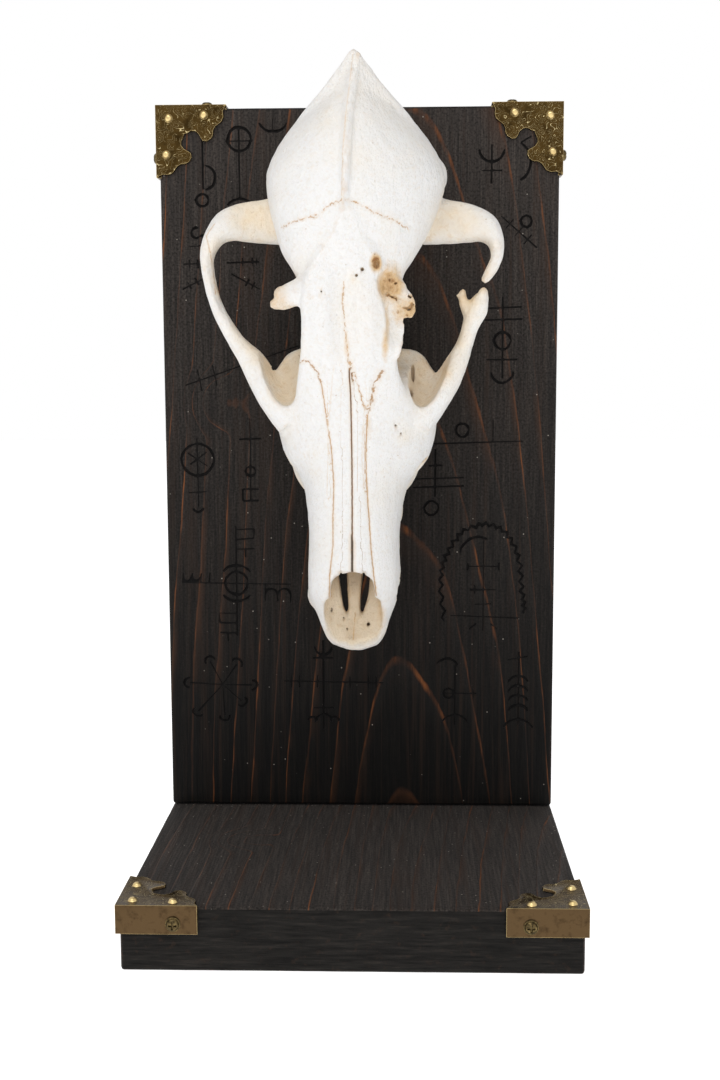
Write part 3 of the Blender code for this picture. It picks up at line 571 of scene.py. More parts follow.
def fine_bones():
    """The thin bones and the teeth, which keep their edges."""
    bones = [
        crest(),
        bar("whole arch", WHOLE_ARCH),
        bar("broken arch front", BROKEN_ARCH_FRONT),
        bar("broken arch spur", BROKEN_ARCH_SPUR),
        bar("broken arch back", BROKEN_ARCH_BACK),
        bar("whole brow spur", WHOLE_BROW_SPUR),
        bar("broken brow stump", BROKEN_BROW_STUMP),
        egg("rim of the canine socket", 18.6, -12.8, 3.0, 5.4, 3.3, 4.6),
    ]
    for side in (-1, 1):
        bones.append(
            bar(
                "wing of the palate",
                (
                    (86, side * 9.6, 10, 3.6, 17), (97, side * 9.4, 10.6, 2.8, 15),
                    (107, side * 9.0, 11.2, 2.4, 13), (116, side * 8.6, 11.2, 2.2, 10),
                    (122, side * 8.4, 9.8, 2.0, 7), (125.5, side * 8.6, 7.8, 1.6, 3.6),
                ),
            )
        )
        for row in CHEEK_TEETH:
            bones += tooth(side, *row)
    return bones


def skull_cutters():
    """All the hollows: nose, palate, throat, spine hole, orbits, ear and cheek holes, sockets, damage."""
    cutters = [
        sliced_bone("nose bowl", NOSE_BOWL, step=2, count=28),
        sliced_bone("nose cavity", NOSE_CAVITY, step=2.5, count=28),
        sliced_bone("nose arch", NOSE_ARCH, step=0.8, count=24),
        sliced_bone("brow step", BROW_STEP, step=2, count=24),
        egg("palate vault", 55, -0.3, -6.5, 40, 12.0, 8.2),
        egg("throat", 112, -1.2, 0.0, 20, 5.6, 12.0),
        egg("spine hole", 184, -0.4, 22.0, 12, 8.4, 6.6),
        egg("brow break pit", 115.5, 11.8, 50.4, 5.4, 4.0, 6.6),
        egg("brow break hole", 121.5, 7.6, 53.6, 2.2, 1.4, 5.0),
        egg("socket break", 19.5, 16.4, 3.5, 3.4, 2.6, 7.0),
        egg("tear hole", 84.5, 18.0, 21.0, 3.0, 1.1, 5.0, 28),
    ]
    for side in (-1, 1):
        cutters.append(egg("orbit", 103, side * 25.6, 26.4, 23.4, 7.6, 14.0, side * 9))
        cutters.append(
            bar(
                "palate slit",
                (
                    (11.6, side * 2.5, 1.5, 0.8, 12), (17, side * 3.2, 1.5, 2.4, 12),
                    (26, side * 4.2, 1.5, 3.0, 12), (29, side * 4.4, 1.5, 1.0, 12),
                ),
            )
        )
        cutters.append(egg("gap behind the palate", 108.5, side * 15.2, 7, 7.5, 3.4, 10))
        cutters.append(egg("ear hole", 151.5, side * 24.5, 13.5, 3.2, 7.0, 3.0))
        cutters.append(egg("cheek hole", 62, side * 22.2, 9.0, 6.0, 1.7, 3.0, side * 14))
        cutters.append(egg("canine socket", 16.5, side * 11.6, -1.0, 4.4, 2.7, 8.0))
    return cutters


def soften(made, rounds):
    """Melts the joins of the snout, the cheeks and the brow, and spares the thin front edge and the nape."""
    weights = made.vertex_groups.new(name="soft")
    alongs = np.array([vert.co.z / MM for vert in made.data.vertices])
    amounts = np.interp(alongs, (30, 62, 128, 150), (0.0, 1.0, 1.0, 0.3))
    for index, amount in enumerate(amounts):
        weights.add([index], float(amount), "REPLACE")
    smooth = made.modifiers.new("melted joins", "SMOOTH")
    smooth.iterations = rounds
    smooth.factor = 0.5
    smooth.vertex_group = "soft"
    apply_modifiers(made)
    made.vertex_groups.clear()


def skull_place():
    """From the skull's own frame to its place on the board."""
    return (
        Matrix.Translation(SNOUT_FRONT)
        @ Matrix.Rotation(-SKULL_TILT, 4, "X")
        @ Matrix.Rotation(SKULL_LEAN, 4, "Y")
    )


# Sutures and cracks that show from the front: width, darkness, waviness, then along and across
SEAMS = (
    ("gap at the tip of the nose", 0.42, 1.0, 0.06, ((24, -0.1), (30, -0.1), (38, -0.15))),
    ("middle of the nose", 0.25, 0.80, 0.10, ((36, -0.1), (60, -0.2), (81, -0.6), (90, -1.1))),
    ("middle of the brow", 0.24, 0.50, 0.8, ((90, -1.1), (98, -1.8), (105, -2.6), (110, -3.0), (116, -2.6))),
    ("left of the nose", 0.23, 0.52, 0.30, (
        (17, -7.9), (24, -7.6), (34, -6.5), (43, -6.5), (54, -6.2), (65, -6.9), (77, -8.8), (86, -10.1),
    )),
    ("left top of the cheekbone", 0.28, 0.60, 0.9, (
        (86, -10.1), (89, -11.2), (91, -12.9), (92.6, -14.6), (92.6, -16.9),
    )),
    ("left second line", 0.14, 0.16, 0.4, ((91, -6.0), (82, -7.0), (70, -8.2), (60, -8.2), (50, -8.6))),
    ("right of the nose", 0.23, 0.55, 0.30, (
        (18, 7.8), (24.5, 7.0), (34, 6.0), (44, 5.3), (57.5, 4.4), (67, 4.3), (77, 4.8),
    )),
    ("right second line", 0.14, 0.16, 0.4, ((79, 4.0), (70, 3.2), (62, 3.0), (52, 3.6))),
    ("left side of the notch", 0.24, 0.55, 0.9, ((92, -0.4), (88, 0.8), (84, 2.0), (78.5, 3.8), (76.8, 4.8))),
    ("right side of the notch", 0.42, 0.62, 1.1, ((76.8, 4.8), (79.7, 6.0), (86, 7.0), (89.5, 9.5))),
    ("left of the crown", 0.26, 0.50, 1.2, (
        (134.6, -22.4), (135.2, -15.6), (135.8, -10.4), (138.6, -7.2), (139.8, -2.6),
    )),
    ("right of the crown", 0.26, 0.50, 1.2, (
        (139.8, -1.2), (138.6, 3.4), (136.2, 7.4), (135.4, 12.2), (133.4, 17.6),
    )),
    ("left arch joint", 0.20, 0.36, 0.5, ((117, -46.0), (121, -46.4), (127, -46.9), (131, -47.6))),
    ("left arch upper joint", 0.18, 0.35, 0.3, ((131, -47.6), (135, -48.6), (139, -46))),
    ("floor of the nose", 0.18, 0.40, 0.4, ((3.1, -0.2), (12.3, 0.4))),
    ("left foot of the crest", 0.20, 0.18, 0.5, (
        (141, -3.2), (154, -2.9), (167, -2.0), (177, -1.0), (187, 0),
    )),
)

# Raised lines and shallow valleys: height, reach, then along and across
RELIEF = (
    (0.50, 1.5, ((114, -18), (119, -14.4), (125, -9.6), (131, -5.6), (137, -3.6))),
    (0.40, 1.5, ((122, 8.6), (127, 4.6), (133, 0.8), (138, -1.4))),
    (-0.70, 3.0, ((84, -1.0), (92, -1.3), (100, -2.2), (108, -3), (117, -3))),
    (-0.45, 1.9, ((22, 0), (40, -0.1), (60, -0.4), (84, -1.0))),
    (-0.22, 1.1, ((22, -7.6), (34, -6.5), (54, -6.2), (65, -6.9), (77, -8.8), (86, -10.1))),
    (-0.22, 1.1, ((22, 7.2), (34, 6.0), (44, 5.3), (57.5, 4.4), (67, 4.3), (77, 4.8))),
    (-0.35, 1.6, ((118, -10.4), (112, -12.6), (106, -14.6))),
    (0.35, 1.8, ((112, -15.4), (104, -16.2), (97, -15.6), (92, -14.8))),
    (0.40, 2.6, ((110, -8.6), (102, -8.4), (95, -7.0))),
    (0.40, 2.6, ((110, 3.2), (102, 4.4), (95, 4.6))),
    (-0.40, 1.4, ((139, -47.4), (130, -48.4), (120, -46.6), (112, -43.6))),
    (-0.35, 2.0, ((98, -30), (92, -25), (86, -21))),
    (-0.35, 2.0, ((98, 30), (92, 25), (86, 21))),
    (0.7, 0.8, ((142, -2.0), (154, -1.4), (167, -0.6), (177, 0.4), (186, 1.2))),
)

# Tan and brown stains: along, across, up, reach along, across and up, strength
STAINS = (
    (116, 12.0, 46, 6, 5, 5, 0.95), (121.5, 7.6, 52, 2.4, 1.6, 3, 1.9), (108.5, 18, 42, 5, 5, 4, 0.8),
    (101, 10.5, 42, 10, 1.2, 3, 0.8), (113, -23.5, 40, 5, 6, 5, 0.75), (114, -13.0, 48, 7, 3, 3, 0.25),
    (96, -1.8, 43, 6, 1.2, 3, 0.4), (78, 4.4, 35, 4, 2, 3, 0.2), (12.5, 9.4, 8, 6, 2, 6, 0.55),
    (19, 15.8, 4, 4, 3, 5, 0.6), (16, -12.6, 3, 6, 4, 5, 0.35), (92, 31, 20, 5, 3, 6, 0.5),
    (118.5, -45.8, 24, 5, 1.6, 4, 0.5), (135.5, -17, 53, 2, 9, 8, 0.2), (135, 12, 53, 2, 8, 8, 0.2),
    (98, -27, 15, 7, 6, 6, 0.35), (98, 27, 15, 7, 6, 6, 0.45), (116.5, 38, 24, 5, 5, 4, 0.5),
    (126, 44.5, 28, 4, 3, 5, 0.4), (72, 5.2, 33, 5, 1.4, 3, 0.35), (168, -24, 26, 8, 5, 9, 0.35),
    (168, 24, 26, 8, 5, 9, 0.35),
)

# Rough broken bone: along, across, up, reach along, across and up, strength
BREAKS = (
    (115, 13.0, 45, 6, 4.5, 5, 1.0), (109.4, 19.0, 41, 4, 3, 4, 1.0), (113, -23.6, 40, 3.4, 3.4, 4, 0.6),
    (118.6, 42.6, 25, 3, 3, 4, 0.7), (118, 36, 24, 3, 2.4, 3, 0.6), (121.6, 42.6, 27, 2, 2.4, 3, 0.6),
    (19.5, 15.4, 4, 4, 2.4, 5, 0.8), (100, 12, 41, 7, 1.2, 3, 0.35),
)

# Small pits and holes: along, across, up, half sizes along, across and up
PITS = (
    (13.0, -7.8, 3.4, 1.5, 0.6, 2.2), (8.2, 4.9, 3.2, 0.6, 0.6, 2.0), (10.4, -3.6, 3.2, 0.4, 0.4, 1.6),
    (6.6, -2.4, 3.2, 0.4, 0.4, 1.6), (119.4, 3.2, 51.6, 0.6, 0.6, 1.6), (117.6, 1.4, 51.2, 0.5, 0.5, 1.4),
    (112.6, -9.6, 49.6, 0.6, 0.6, 1.4), (114.4, -11.2, 49.6, 0.5, 0.7, 1.4),
    (111.8, 13.9, 43.6, 0.8, 0.6, 1.6),
    (114.0, 16.2, 42.8, 0.7, 0.7, 1.6), (109.6, 16.6, 41.6, 0.5, 0.8, 1.4),
    (113.2, 11.2, 44.2, 0.7, 0.5, 1.6),
    (116.6, 13.9, 44.6, 0.6, 0.8, 1.6), (73.4, 13.9, 30, 0.5, 0.5, 3), (71.0, 15.6, 29, 0.5, 0.5, 3),
    (117.6, 11.6, 45.6, 0.8, 0.6, 1.8), (112.4, 12.6, 43.6, 0.6, 0.9, 1.8), (108.2, 14.4, 42, 0.9, 0.5, 1.8),
    (110.6, 18.8, 42, 0.8, 0.5, 1.6), (107.4, 17.4, 41.4, 0.5, 0.8, 1.6), (113.0, 17.6, 43, 0.5, 0.7, 1.6),
    (121.6, 7.8, 52.4, 1.8, 1.1, 4.0), (102.6, -22.6, 14.6, 0.8, 0.8, 2),
    (98.8, -18.8, 16, 0.7, 0.6, 2.4), (103.0, 21.0, 14.6, 0.9, 0.7, 2),
    (99.4, 25.6, 15, 0.7, 0.9, 2), (101.2, 30.6, 15, 0.6, 0.6, 2), (106.4, 24.2, 14, 0.6, 0.6, 2),
)

# Shards at the broken and the fibrous ends: rows of along, across, up, width and height
SPLINTERS = (
    ((110.6, 15.8, 41.6, 3.0, 3.0), (111.2, 18.2, 41.2, 2.0, 2.2), (110.2, 20.4, 40.8, 1.0, 1.2)),
    ((108.0, 15.8, 41.0, 3.2, 3.0), (107.2, 18.4, 40.4, 2.2, 2.2), (108.6, 20.0, 40.0, 1.0, 1.0)),
    ((113.4, 14.0, 43.8, 2.6, 2.6), (114.8, 16.2, 43.0, 1.6, 1.8), (114.2, 17.8, 42.6, 0.8, 0.9)),
    (
        (106.4, 13.8, 41.4, 3.8, 3.6), (103.4, 15.6, 40.8, 3.0, 3.2),
        (98.6, 15.2, 40.0, 2.0, 2.6), (93.8, 14.4, 38.6, 1.0, 1.8),
    ),
    ((116.0, 36.0, 23.8, 2.0, 2.2), (117.4, 34.0, 24.2, 1.4, 1.6), (117.2, 32.6, 24.4, 0.8, 0.9)),
    ((115.4, -18.6, 41.6, 4.2, 4.0), (114.8, -22.4, 41.0, 3.8, 3.6), (113.8, -25.2, 40.6, 2.6, 2.6)),
    ((111.6, -19.0, 40.8, 4.0, 3.8), (110.6, -23.2, 40.4, 3.6, 3.2), (111.0, -26.6, 40.2, 2.6, 2.4)),
)

# Bites out of thin edges, in the same numbers as the pits
NOTCHES = (
    (110.0, 21.2, 41, 0.8, 1.2, 4), (105.6, 17.6, 40.4, 1.1, 1.0, 4), (112.7, -26.8, 40.4, 0.6, 1.6, 4),
    (109.2, 18.0, 41, 0.6, 0.8, 4), (112.6, 18.2, 42, 0.7, 0.8, 4),
    (24.6, -0.1, 25, 1.6, 0.4, 3), (25.0, 3.8, 24, 0.9, 0.9, 3), (25.0, -4.0, 24, 0.9, 0.9, 3),
    (95.6, 28.4, 14.6, 1.0, 0.7, 1.6), (98.6, 22.6, 14.2, 0.8, 0.8, 1.4), (96.8, -24.4, 14.2, 1.1, 0.8, 1.6),
    (94.4, -28.0, 14.8, 0.8, 0.8, 1.4), (92.4, 19.4, 17.0, 3.4, 0.7, 2.6),
    (24.0, 15.6, 5, 0.7, 0.8, 3), (21.8, 15.8, 5, 0.5, 0.9, 3), (19.8, 15.2, 5, 0.6, 0.7, 3),
    (17.8, 14.8, 5, 0.5, 0.7, 3),
)

# Sockets of the front teeth: along, across and half width
INCISOR_SOCKETS = ((3.0, 1.7, 1.0), (3.8, 4.3, 1.1), (5.6, 7.1, 1.3))


def hex_colour(code):
    """An sRGB hex colour as the linear numbers that a shader socket takes."""
    found = []
    for place in (0, 2, 4):
        part = int(code[place:place + 2], 16) / 255
        found.append(part / 12.92 if part <= 0.04045 else ((part + 0.055) / 1.055) ** 2.4)
    return (*found, 1.0)


def add(tree, kind, inputs, out=0, stops=(), **settings):
    """Adds a shader node with its settings; an input is an output to link, a hex colour or a plain value."""
    node = tree.nodes.new("ShaderNode" + kind)
    for key, value in settings.items():
        setattr(node, key, value)
    for key, value in inputs.items():
        if isinstance(value, bpy.types.NodeSocket):
            tree.links.new(value, node.inputs[key])
        elif isinstance(value, str):
            node.inputs[key].default_value = hex_colour(value)
        else:
            node.inputs[key].default_value = value
    for index, (place, colour) in enumerate(stops):
        stop = node.color_ramp.elements[index] if index < 2 else node.color_ramp.elements.new(place)
        stop.position = place
        stop.color = hex_colour(colour)
    return node.outputs[out]


def new_finish(name, values):
    """A material with its Principled shader, whose plain sockets are set here."""
    material = bpy.data.materials.new(name)
    material.use_nodes = True
    shader = material.node_tree.nodes["Principled BSDF"]
    for key, value in values.items():
        shader.inputs[key].default_value = value
    return material, material.node_tree, shader


def plugged(material, shader, colour, bump, rough=None):
    """Plugs a finish's colour, relief and roughness into its shader, and gives the material back."""
    for socket, value in (("Base Color", colour), ("Normal", bump), ("Roughness", rough)):
        if value is not None:
            material.node_tree.links.new(value, shader.inputs[socket])
    return material


def bleached_bone():
    """Dry bone, whitened in peroxide: chalky white where it is thick, cream and tan where fat stayed, and
    warmer and darker in the hollows as painted shade.

    It gives the eye a matt, slightly waxy white with fine pores, tan sutures and stained breaks.
    """
    material, tree, shader = new_finish(
        "bleached bone, peroxide whitened",
        {"Roughness": 0.52, "IOR": 1.54, "Specular IOR Level": 0.35, "Subsurface Weight": 0.04,
         "Subsurface Radius": (1.0, 0.8, 0.6), "Subsurface Scale": 1.0 * MM},
    )
    spot = add(tree, "TexCoord", {}, out=3)
    place = add(tree, "VectorMath", {0: spot, "Scale": 1000.0}, operation="SCALE")
    drawn = add(tree, "VectorMath", {0: place, 1: (1.4, 1.4, 0.22)}, operation="MULTIPLY")
    hollow, ridge, stain, cream = [
        add(tree, "Attribute", {}, out=2, attribute_name=mark)
        for mark in ("hollow", "ridge", "stain", "cream")
    ]
    to_seam, seam = [add(tree, "Attribute", {}, out=1, attribute_name=mark) for mark in ("to_seam", "seam")]
    # Clouds of 16, 4.5, 2 and 0.8 mm, and fibres that run along the skull
    broad = add(tree, "TexNoise", {"Vector": place, "Scale": 1 / 16, "Detail": 3.0, "Roughness": 0.55})
    patchy = add(tree, "TexNoise", {"Vector": place, "Scale": 1 / 4.5, "Detail": 4.0, "Roughness": 0.6})
    mottled = add(tree, "TexNoise", {"Vector": place, "Scale": 1 / 2.0, "Detail": 5.0, "Roughness": 0.7})
    grainy = add(tree, "TexNoise", {"Vector": place, "Scale": 1 / 0.8, "Detail": 3.0, "Roughness": 0.6})
    fibres = add(tree, "TexNoise", {"Vector": drawn, "Scale": 1.0, "Detail": 3.0, "Roughness": 0.6})
    # Cream in the hollows and along the thin arches: the bone's own cream, and in the hollows also painted
    # warm shade and bounce light
    warmth = add(tree, "Math", {0: broad, 1: 0.8, 2: -0.4}, operation="MULTIPLY_ADD")
    warmth = add(tree, "Math", {0: hollow, 1: 0.88, 2: warmth}, operation="MULTIPLY_ADD")
    warmth = add(tree, "Math", {0: warmth, 1: cream}, operation="ADD")
    colour = add(tree, "ValToRGB", {0: warmth}, stops=(
        (0.0, "F2F1F0"), (0.26, "F2EEE8"), (0.55, "F3E3CA"), (0.95, "DCC7AA"),
    ))
    # Tan rims where thin edges dried out, and tan blotches
    rim = add(tree, "MapRange", {0: ridge, 1: 0.30, 2: 0.85, 3: 0.0, 4: 0.6})
    rim = add(tree, "Math", {0: rim, 1: patchy}, operation="MULTIPLY")
    inward = add(tree, "MapRange", {0: hollow, 1: 0.22, 2: 0.55, 3: 0.30, 4: 1.0})
    blotch = add(tree, "MapRange", {0: mottled, 1: 0.52, 2: 0.74, 3: 0.0, 4: 0.75})
    blotch = add(tree, "Math", {0: blotch, 1: inward}, operation="MULTIPLY")
    low_spots = add(tree, "MapRange", {0: mottled, 1: 0.30, 2: 0.48, 3: 0.26, 4: 0.0})
    # Painted shade in the deepest hollows: greyish brown where little sky reaches, near black where almost
    # none does
    deep_painted_shade = add(tree, "MapRange", {0: hollow, 1: 0.64, 2: 0.98, 3: 0.0, 4: 1.1})
    deep_painted_shade = add(tree, "Math", {0: deep_painted_shade, 1: patchy}, operation="MULTIPLY", use_clamp=True)
    darkest_painted_shade = add(tree, "MapRange", {0: hollow, 1: 0.86, 2: 1.0, 3: 0.0, 4: 1.0})
    # Tan stains at the breaks, with brown cells of the spongy bone in them
    tan = add(tree, "Math", {0: mottled, 1: 1.5, 2: 0.12}, operation="MULTIPLY_ADD")
    tan = add(tree, "Math", {0: stain, 1: tan}, operation="MULTIPLY")
    light_tan = add(tree, "MapRange", {0: tan, 1: 0.12, 2: 0.60, 3: 0.0, 4: 0.92})
    brown = add(tree, "MapRange", {0: tan, 1: 0.62, 2: 0.92, 3: 0.0, 4: 0.9})
    # Sutures: the nearest point of the nearest line, shaken sideways into a saw-tooth
    looks = add(tree, "SeparateXYZ", {0: seam}).node.outputs
    shake = add(tree, "TexNoise", {"Vector": place, "Scale": 0.7, "Detail": 2.0, "Roughness": 0.55}, out=1)
    shake = add(tree, "VectorMath", {0: shake, 1: (0.5, 0.5, 0.5)}, operation="SUBTRACT")
    sway = add(tree, "Math", {0: looks[2], 1: 1.8}, operation="MULTIPLY")
    shake = add(tree, "VectorMath", {0: shake, "Scale": sway}, operation="SCALE")
    shake = add(tree, "VectorMath", {0: to_seam, 1: shake}, operation="ADD")
    off = add(tree, "VectorMath", {0: shake}, out=1, operation="LENGTH")
    width = add(tree, "Math", {0: looks[0], 1: 0.02}, operation="MAXIMUM")
    share = add(tree, "Math", {0: off, 1: width}, operation="DIVIDE")
    halo = add(tree, "MapRange", {0: share, 1: 0.4, 2: 4.5, 3: 0.75, 4: 0.0}, interpolation_type="SMOOTHSTEP")
    halo = add(tree, "Math", {0: halo, 1: patchy}, operation="MULTIPLY")
    halo = add(tree, "Math", {0: halo, 1: looks[1]}, operation="MULTIPLY")
    line = add(tree, "MapRange", {0: share, 1: 0.5, 2: 1.3, 3: 1.0, 4: 0.0})
    faded = add(tree, "Math", {0: patchy, 1: 0.9, 2: 0.9}, operation="MULTIPLY_ADD")
    faded = add(tree, "Math", {0: faded, 1: looks[1]}, operation="MULTIPLY", use_clamp=True)
    line = add(tree, "Math", {0: line, 1: faded}, operation="MULTIPLY", use_clamp=True)
    ink = add(tree, "ValToRGB", {0: looks[1]}, stops=(
        (0.15, "D9AC68"), (0.55, "BE8A40"), (0.75, "7A5428"), (1.0, "45331F"),
    ))
    # Pores: sparse pin pricks about a millimetre and a half apart
    pores = add(tree, "TexVoronoi", {"Vector": place, "Scale": 1 / 1.5})
    prick = add(tree, "MapRange", {0: pores, 1: 0.07, 2: 0.22, 3: 1.0, 4: 0.0})
    porous = add(tree, "MapRange", {0: patchy, 1: 0.57, 2: 0.70, 3: 0.0, 4: 1.0})
    prick = add(tree, "Math", {0: prick, 1: porous}, operation="MULTIPLY")
    pore = add(tree, "Math", {0: prick, 1: 0.6}, operation="MULTIPLY")
    # Each tint over those before it
    for share, tint in (
        (rim, "D2A873"), (blotch, "D9BC92"), (low_spots, "DCC9AE"), (deep_painted_shade, "A38C72"), (darkest_painted_shade, "4A3220"),
        (light_tan, "DDBB8A"), (brown, "9B6A3A"), (halo, "DDB887"), (line, ink), (pore, "B58E5E"),
    ):
        colour = add(tree, "Mix", {0: share, 6: colour, 7: tint}, out=2, data_type="RGBA")
    rough = add(tree, "MapRange", {0: patchy, 1: 0.2, 2: 0.8, 3: 0.42, 4: 0.64})
    # Relief in millimetres, from the broad swells down to the pores
    bump = add(tree, "Bump", {"Height": broad, "Distance": 0.45 * MM})
    for height, rise in ((patchy, 0.65), (mottled, 0.5), (fibres, 0.3), (grainy, 0.22)):
        bump = add(tree, "Bump", {"Height": height, "Distance": rise * MM, "Normal": bump})
    for height, drop in ((prick, 0.22), (line, 0.12)):
        bump = add(tree, "Bump", {"Height": height, "Distance": drop * MM, "Normal": bump}, invert=True)
    return plugged(material, shader, colour, bump, rough)


def stained_pine(name, grain, across, pith, slant, wear_and_painted_light, glow, dust, knot):
    """Pine board, sawn and stained black, then rubbed: nearly black, with the hard grain shining orange.

    grain and across are the axes along and across the fibres, pith the place of the tree's heart
    in millimetres across and behind the face, slant how fast the rings leave the face, wear how grey
    it is at the lower and at the upper end (dust and handling, and also painted light: top light on
    the upright, a painted sheen on the base), glow how orange the hard grain is, and knot a knot's place.
    """
    material, tree, shader = new_finish(
        name,
        {"Roughness": 0.6, "IOR": 1.5, "Specular IOR Level": 0.12, "Sheen Weight": 0.04,
         "Sheen Roughness": 0.45},
    )
    spot = add(tree, "TexCoord", {}, out=3)
    place = add(tree, "VectorMath", {0: spot, "Scale": 1000.0}, operation="SCALE")
    axes = add(tree, "SeparateXYZ", {0: place}).node.outputs
    depth = ({"X", "Y", "Z"} - {grain, across}).pop()
    drawn = []
    for stretch in (9, 34):
        shares = tuple(1 / stretch if axis == grain else 1.0 for axis in "XYZ")
        drawn.append(add(tree, "VectorMath", {0: place, 1: shares}, operation="MULTIPLY"))
    long_place, fine_place = drawn
    # Year rings 6.4 mm apart round the heart, led about by slow sways and pushed aside by the knot
    wander = add(tree, "TexNoise", {"Vector": long_place, "Scale": 1 / 36, "Detail": 1.0})
    shiver = add(tree, "TexNoise", {"Vector": long_place, "Scale": 1 / 5, "Detail": 3.0, "Roughness": 0.6})
    sway = add(tree, "Math", {0: wander, 1: 17.0, 2: -8.5 - pith[0]}, operation="MULTIPLY_ADD")
    sway = add(tree, "Math", {0: shiver, 1: 2.4, 2: sway}, operation="MULTIPLY_ADD")
    to_knot = add(tree, "VectorMath", {0: place, 1: knot}, out=1, operation="DISTANCE")
    pushed = add(
        tree, "MapRange", {0: to_knot, 1: 2.0, 2: 15.0, 3: 11.0, 4: 0.0}, interpolation_type="SMOOTHSTEP",
    )
    sway = add(tree, "Math", {0: sway, 1: pushed}, operation="ADD")
    side = add(tree, "Math", {0: axes[across], 1: sway}, operation="ADD")
    behind = add(tree, "Math", {0: axes[grain], 1: slant, 2: pith[1]}, operation="MULTIPLY_ADD")
    behind = add(tree, "Math", {0: behind, 1: axes[depth]}, operation="SUBTRACT")
    heart = add(tree, "CombineXYZ", {0: side, 1: behind})
    radius = add(tree, "VectorMath", {0: heart}, out=1, operation="LENGTH")
    ring = add(tree, "Math", {0: radius, 1: 1 / 6.4}, operation="MULTIPLY")
    ring = add(tree, "Math", {0: ring}, operation="FRACT")
    hard = add(tree, "ValToRGB", {0: ring}, stops=(
        (0.0, "000000"), (0.70, "303030"), (0.95, "FFFFFF"), (1.0, "000000"),
    ))
    thin = add(tree, "ValToRGB", {0: ring}, stops=(
        (0.915, "000000"), (0.955, "FFFFFF"), (0.975, "FFFFFF"), (0.995, "000000"),
    ))
    fibre = add(tree, "TexNoise", {"Vector": fine_place, "Scale": 1 / 0.62, "Detail": 3.0, "Roughness": 0.75})
    bundle = add(tree, "TexNoise", {"Vector": fine_place, "Scale": 1 / 2.4, "Detail": 3.0, "Roughness": 0.65})
    worn = add(tree, "TexNoise", {"Vector": long_place, "Scale": 1 / 4.5, "Detail": 4.0, "Roughness": 0.65})
    patch = add(tree, "TexNoise", {"Vector": place, "Scale": 1 / 26, "Detail": 2.0})
    tooth_marks = add(tree, "TexNoise", {"Vector": place, "Scale": 1 / 0.8, "Detail": 3.0, "Roughness": 0.7})
    # Black stain, greyer where it was handled and dusted; the grey is also painted light, rising towards the
    # top of the upright as painted top light and lying over the base as a painted sheen
    black = add(tree, "ValToRGB", {0: fibre}, stops=((0.30, "070606"), (0.50, "0D0C0B"), (0.74, "1A1613")))
    grey = add(tree, "ValToRGB", {0: fibre}, stops=((0.30, "292624"), (0.50, "3A3532"), (0.74, "504944")))
    low, high = wear_and_painted_light
    # Grey share by height: painted top light on the upright, dust and a painted sheen on the base
    amount = add(tree, "MapRange", {0: axes["Z"], 1: 50.0, 2: 255.0, 3: low, 4: high})
    speckle = add(tree, "MapRange", {0: tooth_marks, 1: 0.36, 2: 0.64, 3: 0.35, 4: 1.65})
    amount = add(tree, "Math", {0: amount, 1: speckle}, operation="MULTIPLY", use_clamp=True)
    streak = add(tree, "MapRange", {0: bundle, 1: 0.52, 2: 0.74, 3: 0.0, 4: 0.45})
    warm = add(tree, "MapRange", {0: patch, 1: 0.48, 2: 0.70, 3: 0.0, 4: 0.42})
    warm = add(tree, "Math", {0: warm, 1: hard}, operation="MULTIPLY")
    shine = add(tree, "ValToRGB", {0: worn}, stops=((0.34, "303030"), (0.52, "6C6C6C"), (0.72, "FFFFFF")))
    shine = add(tree, "Math", {0: shine, 1: thin}, operation="MULTIPLY")
    shine = add(tree, "Math", {0: shine, 1: glow}, operation="MULTIPLY", use_clamp=True)
    # Dust specks, on the base thicker along the foot of the upright
    specks = add(tree, "TexVoronoi", {"Vector": place, "Scale": 1 / 1.4}).node.outputs
    crumb = add(tree, "MapRange", {0: specks[0], 1: 0.08, 2: 0.19, 3: 1.0, 4: 0.0})
    chosen = add(tree, "SeparateColor", {0: specks[1]})
    if depth == "Z":
        near_joint = add(tree, "MapRange", {0: axes["Y"], 1: 37.5, 2: 39.6, 3: 0.0, 4: 0.5})
        chosen = add(tree, "Math", {0: chosen, 1: near_joint}, operation="ADD")
    chosen = add(tree, "MapRange", {0: chosen, 1: 1 - dust, 2: 1 - dust / 2, 3: 0.0, 4: 0.8})
    crumb = add(tree, "Math", {0: crumb, 1: chosen}, operation="MULTIPLY")
    carved = add(tree, "Attribute", {}, out=2, attribute_name="carved")
    # Darker towards the bottom of the carved grooves
    groove_darkening = add(tree, "Math", {0: carved, 1: 0.9}, operation="MULTIPLY")
    colour = black
    for share, tint in (
        (amount, grey), (streak, "35271F"), (warm, "4A3020"), (shine, "7E4A27"), (crumb, "B9B1A6"),
        (groove_darkening, "060505"),
    ):
        colour = add(tree, "Mix", {0: share, 6: colour, 7: tint}, out=2, data_type="RGBA")
    rough = add(tree, "MapRange", {0: hard, 1: 0.0, 2: 1.0, 3: 0.72, 4: 0.54})
    bump = add(tree, "Bump", {"Height": hard, "Distance": 0.12 * MM})
    for height, rise in ((fibre, 0.20), (bundle, 0.16), (tooth_marks, 0.10)):
        bump = add(tree, "Bump", {"Height": height, "Distance": rise * MM, "Normal": bump})
    return plugged(material, shader, colour, bump, rough)


